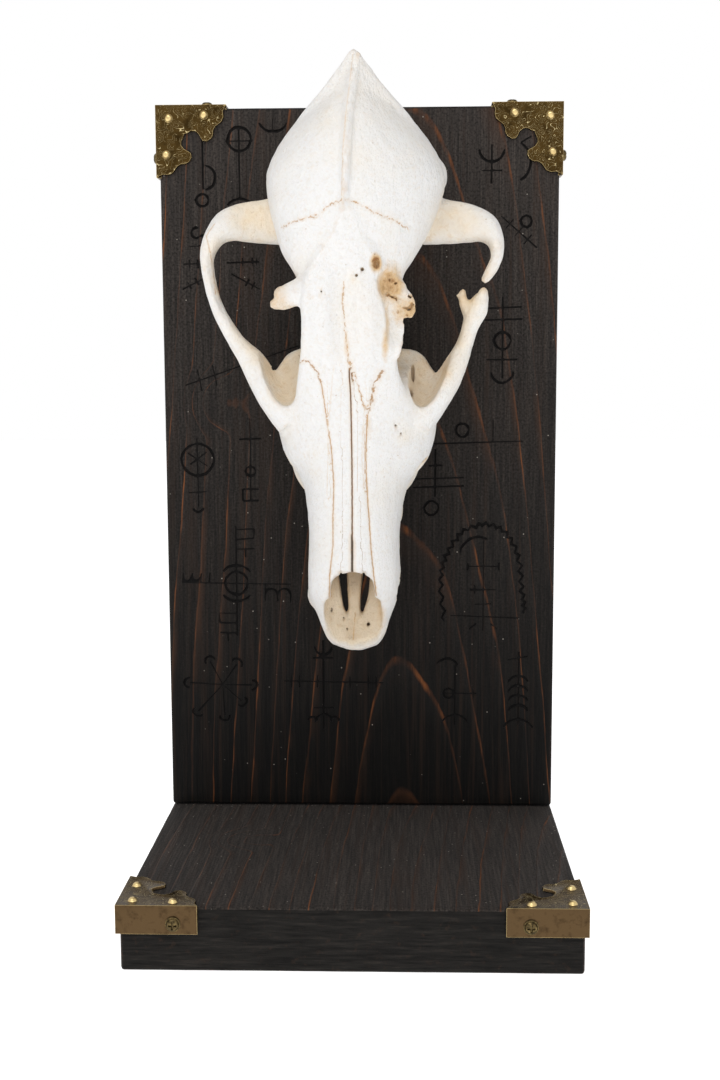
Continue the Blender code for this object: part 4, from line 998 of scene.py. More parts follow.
def sawn_end(name):
    """The same stained pine across its end, rough from the saw: dull black with level saw marks."""
    material, tree, shader = new_finish(name, {"Roughness": 0.8, "IOR": 1.5, "Specular IOR Level": 0.12})
    spot = add(tree, "TexCoord", {}, out=3)
    place = add(tree, "VectorMath", {0: spot, "Scale": 1000.0}, operation="SCALE")
    level = add(tree, "VectorMath", {0: place, 1: (1 / 12, 1, 1)}, operation="MULTIPLY")
    marks = add(tree, "TexNoise", {"Vector": level, "Scale": 1 / 0.9, "Detail": 4.0, "Roughness": 0.65})
    torn = add(tree, "TexNoise", {"Vector": place, "Scale": 1 / 2.2, "Detail": 4.0, "Roughness": 0.65})
    colour = add(tree, "ValToRGB", {0: marks}, stops=((0.30, "0F0E0D"), (0.58, "211F1D"), (0.82, "35302C")))
    tear = add(tree, "MapRange", {0: torn, 1: 0.58, 2: 0.75, 3: 0.0, 4: 0.4})
    colour = add(tree, "Mix", {0: tear, 6: colour, 7: "3E2E24"}, out=2, data_type="RGBA")
    bump = add(tree, "Bump", {"Height": marks, "Distance": 0.34 * MM})
    bump = add(tree, "Bump", {"Height": torn, "Distance": 0.28 * MM, "Normal": bump})
    return plugged(material, shader, colour, bump)


def antique_brass(name, light, dark, scrolls):
    """Stamped brass sheet, darkened in acid and rubbed back.

    It gives the eye a brown sheet with fine gold scrolls, or with scrolls at 0 a plain clouded one.
    """
    material, tree, shader = new_finish(name, {"Metallic": 1.0, "Roughness": 0.36})
    spot = add(tree, "TexCoord", {}, out=3)
    place = add(tree, "VectorMath", {0: spot, "Scale": 1000.0}, operation="SCALE")
    # Engraved scrolls: the level lines of a soft noise, 0.3 mm wide, broken here and there
    curl = add(tree, "TexNoise", {"Vector": place, "Scale": 1 / 2.9, "Detail": 0.0, "Distortion": 0.4})
    folds = add(tree, "Math", {0: curl, 1: 11.0}, operation="MULTIPLY")
    folds = add(tree, "Math", {0: folds}, operation="FRACT")
    scroll = add(tree, "ValToRGB", {0: folds}, stops=(
        (0.43, "000000"), (0.49, "FFFFFF"), (0.51, "FFFFFF"), (0.57, "000000"),
    ))
    broken = add(tree, "TexNoise", {"Vector": place, "Scale": 1 / 1.6, "Detail": 2.0})
    broken = add(tree, "MapRange", {0: broken, 1: 0.40, 2: 0.48, 3: 0.0, 4: scrolls})
    scroll = add(tree, "Math", {0: scroll, 1: broken}, operation="MULTIPLY")
    cloudy = add(tree, "TexNoise", {"Vector": place, "Scale": 1 / 3.2, "Detail": 4.0, "Roughness": 0.65})
    fine = add(tree, "TexNoise", {"Vector": place, "Scale": 1 / 0.4, "Detail": 3.0, "Roughness": 0.7})
    colour = add(tree, "ValToRGB", {0: cloudy}, stops=((0.24, dark), (0.50, light), (0.80, light)))
    grime = add(tree, "MapRange", {0: fine, 1: 0.50, 2: 0.75, 3: 0.0, 4: 0.5 * scrolls})
    colour = add(tree, "Mix", {0: grime, 6: colour, 7: dark}, out=2, data_type="RGBA")
    gilt = add(tree, "Math", {0: scroll, 1: 0.85}, operation="MULTIPLY")
    colour = add(tree, "Mix", {0: gilt, 6: colour, 7: "E9D7A4"}, out=2, data_type="RGBA")
    rough = add(tree, "MapRange", {0: cloudy, 1: 0.2, 2: 0.8, 3: 0.26, 4: 0.46})
    bump = add(tree, "Bump", {"Height": cloudy, "Distance": 0.05 * MM})
    for height, rise in ((scroll, 0.07), (fine, 0.02)):
        bump = add(tree, "Bump", {"Height": height, "Distance": rise * MM, "Normal": bump})
    return plugged(material, shader, colour, bump, rough)


def beech_dowel():
    """Turned beech peg: pale pinkish brown with short dark flecks along it."""
    material, tree, shader = new_finish(
        "beech dowel, turned", {"Roughness": 0.55, "IOR": 1.5, "Specular IOR Level": 0.3},
    )
    spot = add(tree, "TexCoord", {}, out=3)
    drawn = add(tree, "VectorMath", {0: spot, 1: (2000, 240, 2000)}, operation="MULTIPLY")
    flecks = add(tree, "TexNoise", {"Vector": drawn, "Scale": 1.0, "Detail": 3.0, "Roughness": 0.6})
    colour = add(tree, "ValToRGB", {0: flecks}, stops=((0.3, "8C6239"), (0.6, "C39A6B")))
    bump = add(tree, "Bump", {"Height": flecks, "Distance": 0.05 * MM})
    return plugged(material, shader, colour, bump)


def blackened_steel():
    """Small steel screw, oiled black when hot: dark brown grey with rubbed high spots."""
    material, tree, shader = new_finish("steel screw, blackened", {"Metallic": 1.0, "Roughness": 0.4})
    spot = add(tree, "TexCoord", {}, out=3)
    spots = add(tree, "TexNoise", {"Vector": spot, "Scale": 1250.0, "Detail": 3.0, "Roughness": 0.6})
    colour = add(tree, "ValToRGB", {0: spots}, stops=((0.35, "3E3524"), (0.6, "6A5B3C"), (0.8, "9C8758")))
    rough = add(tree, "MapRange", {0: spots, 1: 0.2, 2: 0.8, 3: 0.30, 4: 0.48})
    bump = add(tree, "Bump", {"Height": spots, "Distance": 0.03 * MM})
    return plugged(material, shader, colour, bump, rough)


def nothing_selected():
    """Out of edit mode, with nothing selected."""
    if bpy.context.object and bpy.context.object.mode != "OBJECT":
        bpy.ops.object.mode_set(mode="OBJECT")
    bpy.ops.object.select_all(action="DESELECT")


def only(piece):
    """Out of edit mode, with this piece alone selected and active."""
    nothing_selected()
    piece.select_set(True)
    bpy.context.view_layer.objects.active = piece


def copied(model, name):
    """A copy of the model with a mesh of its own, in the scene."""
    made = model.copy()
    made.data = model.data.copy()
    made.name = name
    bpy.context.scene.collection.objects.link(made)
    return made


def settle(piece, name):
    """Puts the piece's place, turn and size into its mesh and names it."""
    only(piece)
    bpy.ops.object.transform_apply(location=True, rotation=True, scale=True)
    piece.name = name
    piece.data.name = name
    return piece


def apply_all(piece):
    only(piece)
    for modifier in list(piece.modifiers):
        bpy.ops.object.modifier_apply(modifier=modifier.name)


def grown_together(pieces, name):
    """One object from several."""
    nothing_selected()
    for piece in pieces:
        piece.select_set(True)
    bpy.context.view_layer.objects.active = pieces[0]
    bpy.ops.object.join()
    made = bpy.context.object
    made.name = name
    made.data.name = name
    return made


def finished(piece, slot, *nodes, angle):
    """Shades the piece, and lets it stand for its nodes."""
    only(piece)
    bpy.ops.object.shade_smooth_by_angle(angle=math.radians(angle))
    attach(piece, "root")
    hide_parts(*nodes)


def fine_cutters():
    """Small holes that only the finished skull shows: pits, pores at the breaks, incisor sockets."""
    found = [egg("pit", *row) for row in PITS + NOTCHES]
    for side in (-1, 1):
        for along, across, wide in INCISOR_SOCKETS:
            found.append(egg("incisor socket", along, side * across + 0.2, -0.4, wide, 0.8, 3.2))
    return found


def shape_skull():
    """The bone's shape, from the same slices as the solid but with a finer skin."""
    made = joined("skull_bone", main_bones())
    voxel = SKULL_VOXEL
    rounds = MELT_ROUNDS
    fuse(made, voxel, smoothing=2)
    soften(made, rounds)
    splinters = [bar("splinter", rows, per_span=3, count=8) for rows in SPLINTERS]
    made = joined("skull_bone", [made, *fine_bones(), *splinters])
    fuse(made, voxel, smoothing=3)
    hollows = joined("hollows", skull_cutters())
    fuse(hollows, voxel, smoothing=1)
    cut(made, hollows, "MANIFOLD")
    fuse(made, voxel, smoothing=3)
    pricks = joined("pricks", fine_cutters())
    fuse(pricks, PIT_VOXEL, smoothing=0)
    cut(made, pricks, "MANIFOLD")
    keep_largest_shell(made)
    thin = made.modifiers.new("fewer faces", "DECIMATE")
    thin.ratio = min(1.0, SKULL_TRIANGLES / sum(len(face.vertices) - 2 for face in made.data.polygons))
    apply_modifiers(made)
    return made


def neighbours_mean(values, ends, counts):
    """The mean of each vertex's neighbours, for one column or more."""
    total = np.zeros_like(values)
    for column in range(values.shape[1]):
        total[:, column] = np.bincount(ends[:, 0], values[ends[:, 1], column], len(values))
        total[:, column] += np.bincount(ends[:, 1], values[ends[:, 0], column], len(values))
    return total / counts[:, None]


def put_attribute(mesh, name, values):
    kind = "FLOAT" if values.ndim == 1 else "FLOAT_VECTOR"
    layer = mesh.attributes.new(name, kind, "POINT")
    layer.data.foreach_set("value" if values.ndim == 1 else "vector", values.astype(np.float32).ravel())


def spread(places, spots):
    """The strongest of several soft spots at each place."""
    across, up, along = places[:, 0], -places[:, 1], places[:, 2]
    found = np.zeros(len(places))
    for s, x, h, long, wide, high, strength in spots:
        far = ((along - s) / long) ** 2 + ((across - x) / wide) ** 2 + ((up - h) / high) ** 2
        found = np.maximum(found, strength * np.exp(-far))
    return found


def nearest_on(points, along, across):
    """How far along and across the nearest point of a line lies from each place."""
    best = np.full(len(along), 1e9)
    found = np.zeros((2, len(along)))
    for (s0, x0), (s1, x1) in zip(points, points[1:]):
        run = np.array((s1 - s0, x1 - x0), float)
        share = ((along - s0) * run[0] + (across - x0) * run[1]) / (run @ run)
        share = np.clip(share, 0, 1)
        gap = np.array((s0 + share * run[0] - along, x0 + share * run[1] - across))
        far = np.hypot(*gap)
        closer = far < best
        best[closer] = far[closer]
        found[:, closer] = gap[:, closer]
    return found


def nearest_seam(along, across):
    """For each place, the way to the nearest line in the plane of the brow, and that line's looks."""
    best = np.full(len(along), 1e9)
    way = np.zeros((len(along), 2))
    looks = np.zeros((len(along), 3))
    for _, width, darkness, waviness, points in SEAMS:
        gap_along, gap_across = nearest_on(points, along, across)
        far = np.hypot(gap_along, gap_across)
        closer = far < best
        best[closer] = far[closer]
        way[closer] = np.column_stack([gap_along, gap_across])[closer]
        looks[closer] = (width, darkness, waviness)
    return way, looks


def read_points(mesh):
    """The vertices' places in millimetres and their normals."""
    count = len(mesh.vertices)
    places = np.zeros(count * 3, np.float32)
    mesh.vertices.foreach_get("co", places)
    normals = np.zeros(count * 3, np.float32)
    mesh.vertices.foreach_get("normal", normals)
    return places.reshape(-1, 3).astype(float) / MM, normals.reshape(-1, 3).astype(float)


def hidden_share(made, places, normals):
    """How much of the sky each vertex doesn't see, from rays on a plainer copy of the bone."""
    plain = copied(made, "plainer bone")
    fewer = plain.modifiers.new("fewer faces", "DECIMATE")
    fewer.ratio = min(1.0, PLAIN_TRIANGLES / len(plain.data.polygons))
    apply_modifiers(plain)
    spots, ways_out = [[Vector(row) for row in rows] for rows in read_points(plain.data)]
    tree = BVHTree.FromPolygons(spots, [tuple(face.vertices) for face in plain.data.polygons])
    bpy.data.objects.remove(plain, do_unlink=True)
    cone = []
    for i in range(SKY_RAYS):
        lift = 1 - (i + 0.5) / SKY_RAYS
        turn = i * math.pi * (3 - math.sqrt(5))
        flat = math.sqrt(1 - lift * lift)
        cone.append((flat * math.cos(turn), flat * math.sin(turn), lift))
    found = KDTree(len(spots))
    shares = np.zeros(len(spots))
    for i, (spot, normal) in enumerate(zip(spots, ways_out)):
        found.insert(spot, i)
        side = normal.orthogonal().normalized()
        other = normal.cross(side)
        start = spot + normal * SKY_RAY_START
        met = sum(
            tree.ray_cast(start, side * a + other * b + normal * c, SKY_RAY_REACH)[0] is not None
            for a, b, c in cone
        )
        shares[i] = met / SKY_RAYS
    found.balance()
    near = np.zeros((len(places), SKY_NEAREST), int)
    far = np.zeros((len(places), SKY_NEAREST))
    for i, place in enumerate(places):
        for j, (_, index, distance) in enumerate(found.find_n(place, SKY_NEAREST)):
            near[i, j] = index
            far[i, j] = distance
    # Each vertex takes its share from the nearest points that face its own way
    same_side = np.einsum("ijk,ik->ij", np.array(ways_out)[near], normals) > 0.2
    weight = (same_side + 1e-4) / (far + 0.2)
    return (shares[near] * weight).sum(1) / weight.sum(1)


def mark_skull(made):
    """Writes what the bone's material needs into attributes: hollows, ridges, stains, cream and seams."""
    mesh = made.data
    count = len(mesh.vertices)
    places, normals = read_points(mesh)
    ends = np.zeros(len(mesh.edges) * 2, np.int32)
    mesh.edges.foreach_get("vertices", ends)
    ends = ends.reshape(-1, 2)
    counts = np.maximum(1, np.bincount(ends.ravel(), minlength=count)).astype(float)
    across, up, along = places[:, 0], -places[:, 1], places[:, 2]

    hidden = hidden_share(made, places, normals)[:, None]
    for _ in range(4):
        hidden = 0.5 * hidden + 0.5 * neighbours_mean(hidden, ends, counts)
    put_attribute(mesh, "hollow", hidden[:, 0])

    smooth = places
    for _ in range(6):
        smooth = neighbours_mean(smooth, ends, counts)
    ridge = ((places - smooth) * normals).sum(1)
    put_attribute(mesh, "ridge", np.clip(ridge / 0.5, -1, 1))

    put_attribute(mesh, "stain", spread(places, STAINS))

    # Cream on the arches, at the nape and low down, where fat stays; low down it is partly painted shade too,
    # as the light comes from above
    arches = np.clip((np.abs(across) - 27) / 8, 0, 1) * 0.20
    nape = np.clip((along - 150) / 30, 0, 1) * 0.15
    # Low down: partly fat, partly painted shade from the light above
    below = np.clip((14 - up) / 12, 0, 1) * 0.35
    put_attribute(mesh, "cream", arches + nape + below)

    # Lines show where the bone faces the viewer, and not low down on it
    way, looks = nearest_seam(along, across)
    facing = np.clip(-normals[:, 1] * 3, 0, 1)
    high_enough = (up > 2.5) & ((along < 20) | (up > 10))
    looks[:, 1] *= facing * high_enough
    seam_way = np.column_stack([way[:, 1], np.zeros(count), way[:, 0]])
    put_attribute(mesh, "to_seam", seam_way)
    put_attribute(mesh, "seam", looks)


def skull(finish):
    """The bone with its swells, torn breaks and raised lines, set in its place on the board."""
    made = shape_skull()
    places, normals = read_points(made.data)
    torn = spread(places, BREAKS)
    # Swells 9, 3.2 and 1.5 mm long, much rougher where the bone is torn
    swell = [
        noise.noise(Vector(p) / 9.0) * 0.25 + noise.noise(Vector(p) / 3.2) * (0.12 + 0.7 * amount)
        + noise.noise(Vector(p) / 1.5) * (0.04 + 0.7 * amount)
        for p, amount in zip(places, torn)
    ]
    across, along = places[:, 0], places[:, 2]
    facing = np.clip(-normals[:, 1] * 2, 0, 1)
    relief = np.zeros(len(places))
    for height, reach, points in RELIEF:
        far = np.hypot(*nearest_on(points, along, across))
        relief += height * np.exp(-((far / reach) ** 2)) * facing * (along > 21)
    places += normals * (np.array(swell) + relief)[:, None]
    made.data.vertices.foreach_set("co", (places * MM).astype(np.float32).ravel())
    made.data.update()
    mark_skull(made)
    made.data.transform(skull_place())
    made.data.materials.clear()
    made.data.materials.append(finish)
    made.data.shade_smooth()
    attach(made, "root")
    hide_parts("skull")


def bow(x, z, radius, start, end, count=9):
    """Points on a part of a circle, angles in degrees from the right, anticlockwise."""
    found = []
    for i in range(count):
        angle = math.radians(start + (end - start) * i / (count - 1))
        found.append((x + radius * math.cos(angle), z + radius * math.sin(angle)))
    return found


def hatched(start, end, marks, reach):
    """A line with short strokes across it at the given shares of its length."""
    (x0, z0), (x1, z1) = start, end
    length = math.hypot(x1 - x0, z1 - z0)
    side = ((z1 - z0) / length * reach, -(x1 - x0) / length * reach)
    found = [[start, end]]
    for share in marks:
        x, z = x0 + (x1 - x0) * share, z0 + (z1 - z0) * share
        found.append([(x - side[0], z - side[1]), (x + side[0], z + side[1])])
    return found


def carved_strokes():
    """The old stave signs cut in the front of the upright, as lines in millimetres on its face."""
    found = []
    # Upper left: anchor, half ring, long d with a ring, and four hatched twigs
    found += [[(-41.9, 264.4), (-41.9, 239.5)], bow(-41.9, 260.4, 4.1, 0, 360, 17)]
    found += [[(-47, 259.8), (-37, 259.8)]]
    found += [bow(-41.9, 234.6, 5.4, 35, 145)]
    found += [bow(-30, 268.2, 5.4, 205, 335), [(-30, 267.2), (-30, 262.8)]]
    found += [[(-54.8, 262), (-54.8, 243.2)], bow(-54.8, 247.4, 4.3, 80, -80)]
    found += [bow(-55.2, 239.6, 2.2, 0, 360, 11)]
    found += hatched((-62.4, 217.4), (-50.8, 217.8), (0.2, 0.45, 0.7), 1.6)
    found += hatched((-47, 217.8), (-35.4, 218.2), (0.5, 0.8, 0.92), 1.6)
    found += hatched((-62.8, 208.6), (-54, 213.2), (0.3, 0.6), 1.5)
    found += hatched((-45.4, 214), (-35, 208.4), (0.55, 0.75), 1.5)
    found += [bow(-57.6, 228.4, 1.8, 60, 300), bow(-55.4, 225.6, 1.7, -120, 120)]
    found += [[(-60, 223.6), (-52.6, 223.8)]]
    # Left of the cheek: a slanted shaft and two hanging staves
    found += [[(-62.6, 174.8), (-21.8, 188.8)], [(-58, 180.6), (-56.4, 172.6)]]
    found += [[(-52.6, 182.2), (-51, 174.6)]]
    found += [[(-58.4, 156), (-58.4, 131)], bow(-58.4, 148.2, 5.8, 0, 360, 19)]
    found += [[(-62, 150.6), (-54.8, 145.8)]]
    found += [[(-61.4, 146.4), (-55, 151)], [(-61.8, 136.2), (-55.2, 136.6)]]
    found += [bow(-58.4, 131.4, 2.2, 200, 340)]
    found += [[(-39.4, 163), (-39.4, 133.4)], [(-43.6, 155.6), (-35.4, 155.8)]]
    found += [bow(-39.4, 144, 1.8, 0, 360, 9)]
    found += [[(-42.4, 137.6), (-36.4, 137.6)], [(-42.4, 133.4), (-36.4, 133.4)]]
    found += [[(-42.4, 137.6), (-42.4, 133.4)]]
    # Large combed cross left of the snout
    found += [[(-45, 124.2), (-45, 83.6)], [(-65.2, 103.4), (-25, 102.8)], bow(-45, 103.2, 4.2, 0, 360, 15)]
    found += [bow(-45, 103.2, 6.6, 40, 140), bow(-45, 103.2, 6.6, 220, 320)]
    for x in (-64.6, -61.4, -58.2, -55):
        found.append([(x, 103.4), (x + 0.2, 107.2)])
    found += [bow(-63, 105.6, 1.6, 180, 360), bow(-59.8, 105.6, 1.6, 180, 360)]
    found += [bow(-32.4, 99, 2.2, 0, 180), bow(-27.6, 99, 2.2, 0, 180), [(-34.6, 102.8), (-34.6, 96.6)]]
    found += [[(-30, 99), (-30, 96.4)], [(-25.4, 99), (-25.4, 96)]]
    for z in (122.8, 119.2, 115.6):
        found.append([(-45, z), (-38.4, z + 0.4)])
    found += [[(-38.4, 123.2), (-38.4, 119.8)], [(-41.6, 116), (-41.6, 112.6)]]
    for z in (85, 88.6, 92.2):
        found.append([(-51.4, z), (-45, z - 0.2)])
    found += [[(-51.4, 92.2), (-51.4, 88.8)], [(-48.4, 85), (-48.4, 81.8)]]
    # Forked star and the long star under the snout
    for turn, reach in ((176, 12.6), (0, 10.6), (118, 10), (58, 9.4), (226, 13.6), (272, 11.6), (318, 9)):
        x = -50.4 + reach * math.cos(math.radians(turn))
        z = 65.4 + reach * math.sin(math.radians(turn))
        found.append([(-50.4, 65.4), (x, z)])
        found.append(bow(x, z, 1.9, turn - 100, turn + 100, 7))
    found += hatched((-28.4, 67), (8.6, 66.4), (0.08, 0.16, 0.34, 0.66, 0.84, 0.92), 2.4)
    found += [[(-13.6, 82.4), (-13.6, 48.8)], bow(-13.6, 80, 3.2, 180, 360), bow(-13.6, 51.4, 3.2, 0, 180)]
    found += [[(-17.6, 75.6), (-9.6, 75.6)], [(-17.6, 57), (-9.6, 57)], bow(-17.6, 52, 1.6, 0, 180)]
    found += [bow(-9.6, 52, 1.6, 0, 180)]
    # Upper right: trident with a long curve, twig, double barred shaft
    found += [[(46.4, 258), (46.4, 244.4)], bow(46.4, 256.4, 4.4, 180, 360), [(42.6, 249), (50.2, 249)]]
    found += [bow(52.6, 252, 7.4, 300, 420), [(56.4, 258.4), (60.2, 260.6)]]
    found += hatched((49.6, 233.6), (62.4, 222.4), (0.25, 0.5, 0.75), 2.2)
    found += [bow(58.6, 231.6, 2.0, 0, 360, 9)]
    found += [[(50.6, 205.6), (50.6, 177)], [(43.6, 201.4), (57.6, 201.8)], [(43.6, 197.4), (57.6, 197.8)]]
    found += [[(45, 183.4), (56.2, 183.4)], bow(50.6, 190.2, 3.0, 0, 360, 11)]
    found += [bow(50.6, 179.4, 4.0, 180, 360)]
    # Right of the cheek: level shaft, then barred shaft with a ring
    found += [[(20.8, 153.6), (58.6, 154.6)], [(47.6, 162.4), (47.6, 154)], bow(36.6, 158.6, 2.4, 0, 360, 11)]
    found += [[(27, 152), (27, 134.4)], [(18.6, 141), (37.4, 141.6)], [(18.6, 138.2), (37.4, 138.6)]]
    found += [bow(25.6, 130.6, 2.6, 0, 360, 11), [(24.4, 146), (29.8, 146)]]
    # Wavy arch with a shaft inside, and two small staves below it
    arch = (
        (30.2, 89.6), (29, 104.6), (31.2, 113.6), (36.4, 121.6), (44.6, 124.8), (52.4, 121.6), (57, 112.4),
        (58.4, 100.4), (59.6, 92.2),
    )
    found.append(rippled(arch, 26, 0.8))
    found += [[(44.4, 120), (44.4, 85.6)], [(38.8, 109.4), (50, 109.4)], [(39.4, 101), (49.4, 101)]]
    found += [[(32.6, 91.4), (57.4, 90.6)], bow(42.6, 113.6, 6.6, 60, 175), [(38.8, 111), (38.8, 107.8)]]
    found += [[(50, 111), (50, 107.8)], [(41.4, 102.6), (41.4, 99.4)], [(47.6, 95.6), (41.2, 95.8)]]
    found += [[(47, 88.6), (49.6, 86.4)], [(42, 88.6), (39.4, 86.4)]]
    found += [[(34.4, 73), (34.4, 50.4)], [(29.6, 62.6), (42.4, 62.6)], bow(32, 62.6, 1.9, 0, 360, 9)]
    found += [bow(31.4, 71.4, 4.2, 20, 150), bow(34.4, 49.4, 5.2, 30, 150), [(41, 60.6), (41, 64.6)]]
    found += [[(57.4, 78.4), (57.4, 50.8)], bow(57.4, 46.8, 6.2, 30, 150), [(53.4, 75), (61, 76.4)]]
    for z in (56.6, 60.2, 63.8, 67.4):
        found.append(bow(57.4, z - 2.2, 4.0, 25, 155))
    return found


def rippled(points, waves, size):
    """A line through the points that waves to and fro as the gouge wandered."""
    keys = [(i, *point) for i, point in enumerate(points)]
    steps = np.linspace(0, len(points) - 1, waves * 4 + 1)
    rows = smooth_between(keys, steps)
    found = []
    for i, row in enumerate(rows):
        before, after = rows[max(0, i - 1)], rows[min(len(rows) - 1, i + 1)]
        way = after - before
        way /= np.hypot(*way)
        shift = size * math.sin(i * math.pi / 2)
        found.append((row[0] - way[1] * shift, row[1] + way[0] * shift))
    return found


def carving_tool():
    """All strokes as round grooves, joined into one body that is cut from the board."""
    made = bpy.data.curves.new("strokes", "CURVE")
    made.dimensions = "3D"
    made.bevel_depth = CARVING_RADIUS
    made.bevel_resolution = 1
    made.use_fill_caps = True
    for stroke in carved_strokes():
        spline = made.splines.new("POLY")
        spline.points.add(len(stroke) - 1)
        for i, (point, (x, z)) in enumerate(zip(spline.points, stroke)):
            shake = noise.noise(Vector((x, z, 0)) * 0.35) * 0.3
            point.co = ((x + shake) * MM, UPRIGHT_FRONT - 0.05 * MM, (z - shake) * MM, 1)
            end = i in (0, len(stroke) - 1)
            point.radius = (0.7 if end else 1.0) + noise.noise(Vector((x, 7, z)) * 0.6) * 0.35
    strokes = bpy.data.objects.new("strokes", made)
    bpy.context.scene.collection.objects.link(strokes)
    only(strokes)
    bpy.ops.object.convert(target="MESH")
    strokes = bpy.context.object
    skin = strokes.modifiers.new("one groove", "REMESH")
    skin.mode = "VOXEL"
    skin.voxel_size = CARVING_VOXEL
    apply_all(strokes)
    return strokes


def sawn_board(name, low, high, end_axis, finishes):
    """A board with softened, slightly worn edges, whose two sawn ends take the second finish."""
    low, high = Vector(low), Vector(high)
    nothing_selected()
    bpy.ops.mesh.primitive_cube_add(size=1, location=(low + high) / 2, scale=high - low)
    made = settle(bpy.context.object, name)
    bpy.ops.object.mode_set(mode="EDIT")
    bpy.ops.mesh.select_all(action="SELECT")
    bpy.ops.mesh.bevel(offset=EDGE_ROUND, segments=3, affect="EDGES")
    # Cuts right through the board give its edges points that wear can move
    for axis in range(3):
        way = [float(axis == other) for other in range(3)]
        for place in np.arange(low[axis] + BOARD_CUTS, high[axis] - 3 * MM, BOARD_CUTS):
            bpy.ops.mesh.select_all(action="SELECT")
            bpy.ops.mesh.bisect(plane_co=[part * place for part in way], plane_no=way)
    bpy.ops.object.mode_set(mode="OBJECT")
    middle, half = (low + high) / 2, (high - low) / 2
    for vert in made.data.vertices:
        gap = [half[i] - abs(vert.co[i] - middle[i]) for i in range(3)]
        worn = max(0.0, 1 - sorted(gap)[1] / EDGE_WEAR_REACH)
        dent = (0.5 + 0.5 * noise.noise(vert.co / (7 * MM))) * EDGE_WEAR * worn
        vert.co += (middle - vert.co).normalized() * dent
    for finish in finishes:
        made.data.materials.append(finish)
    for face in made.data.polygons:
        face.material_index = 1 if abs(face.normal[end_axis]) > 0.9 else 0
    return made


def boards():
    """The base and the carved upright."""
    half = BOARD_WIDTH / 2
    base = sawn_board(
        "base_board", (-half, -BASE_DEPTH / 2, 0), (half, BASE_DEPTH / 2, BOARD_THICKNESS), 1,
        (
            stained_pine(
                "pine stained black, base", "Y", "X", pith=(96, 44), slant=0.24, wear_and_painted_light=(0.82, 0.82),
                glow=0.9, dust=0.07, knot=(-40, 2, 20),
            ),
            sawn_end("pine end sawn and stained, base"),
        ),
    )
    upright = sawn_board(
        "upright_board", (-half, UPRIGHT_FRONT, BOARD_THICKNESS + FIT_GAP),
        (half, BASE_DEPTH / 2, BOARD_THICKNESS + UPRIGHT_HEIGHT), 2,
        (
            stained_pine(
                "pine stained black, upright", "Z", "X", pith=(18, 62), slant=0.13, wear_and_painted_light=(0.0, 0.85),
                glow=1.0, dust=0.03, knot=(-52, 40, 169),
            ),
            sawn_end("pine end sawn and stained, upright"),
        ),
    )
    cut(upright, carving_tool(), "MANIFOLD")
    places = read_points(upright.data)[0]
    depth = places[:, 1] - UPRIGHT_FRONT / MM
    inside = (depth > 0.06) & (depth < 2.0) & (np.abs(places[:, 0]) < 68)
    put_attribute(upright.data, "carved", np.where(inside, np.clip(depth / 0.3, 0, 1), 0.0))
    finished(base, "stained_pine", "board_base", angle=30)
    finished(upright, "stained_pine", "board_upright", angle=30)


def corner_outline():
    """The scalloped face of a corner: out along one arm, back along the other, from its own corner."""
    half = (
        (24.8, 0.0), (24.3, 0.9), (23.6, 2.4), (23.8, 4.2), (23.2, 5.7), (22.0, 6.6), (20.9, 7.4),
        (20.1, 8.8), (20.1, 10.2), (19.4, 11.5), (17.9, 12.4), (16.5, 12.2), (15.8, 11.1), (15.1, 9.8),
        (13.7, 8.8), (12.3, 8.9), (11.1, 9.6),
    )
    other_half = [(q, p) for p, q in reversed(half)]
    return [Vector((p, q, 0)) * MM for p, q in ((0.0, 0.0), *half, (9.9, 9.9), *other_half)]


def stamped_corner(finishes):
    """One brass corner, lying with its own corner at the origin and its flanges hanging down."""
    outline = corner_outline()
    nothing_selected()
    bpy.ops.mesh.primitive_circle_add(vertices=len(outline), radius=20 * MM, fill_type="NGON")
    plate = bpy.context.object
    for vert, point in zip(plate.data.vertices, outline):
        vert.co = point
    bpy.ops.object.mode_set(mode="EDIT")
    bpy.ops.mesh.select_all(action="SELECT")
    bpy.ops.mesh.normals_make_consistent(inside=False)
    # A raised rim along the scallops, then the flanges folded down from the two straight sides
    bpy.ops.mesh.inset(thickness=RIM_WIDTH, use_boundary=True)
    bpy.ops.transform.translate(value=(0, 0, -RIM_DROP))
    bpy.ops.mesh.select_mode(type="EDGE")
    bpy.ops.mesh.select_all(action="DESELECT")
    bpy.ops.object.mode_set(mode="OBJECT")
    for edge in plate.data.edges:
        ends = [plate.data.vertices[i].co for i in edge.vertices]
        on_side = [all(abs(end[axis]) < 1e-6 for end in ends) for axis in (0, 1)]
        edge.select = any(on_side) and all(end.length <= CORNER_ARM for end in ends)
    bpy.ops.object.mode_set(mode="EDIT")
    bpy.ops.mesh.extrude_region_move(TRANSFORM_OT_translate={"value": (0, 0, -CORNER_FLANGE)})
    bpy.ops.mesh.select_all(action="SELECT")
    bpy.ops.mesh.normals_make_consistent(inside=False)
    bpy.ops.object.mode_set(mode="OBJECT")
    if sum(face.normal.z * face.area for face in plate.data.polygons) < 0:
        plate.data.flip_normals()
    sheet = plate.modifiers.new("sheet", "SOLIDIFY")
    sheet.thickness = CORNER_SHEET
    sheet.offset = -1
    sheet.use_even_offset = True
    for finish in finishes:
        plate.data.materials.append(finish)
    rounded = plate.modifiers.new("rounded edges", "BEVEL")
    rounded.width = CORNER_ROUND
    rounded.segments = 2
    rounded.limit_method = "ANGLE"
    rounded.angle_limit = math.radians(35)
    rounded.material = 1
    apply_all(plate)
    for face in plate.data.polygons:
        if face.material_index == 0 and abs(face.normal.z) < 0.5:
            face.material_index = 2
    heads = [plate]
    for x, y in RIVET_PLACES:
        heads.append(rivet_head(Vector((x, y, RIVET_FOOT)) * MM, finishes[1]))
    return grown_together(heads, "brass corner")


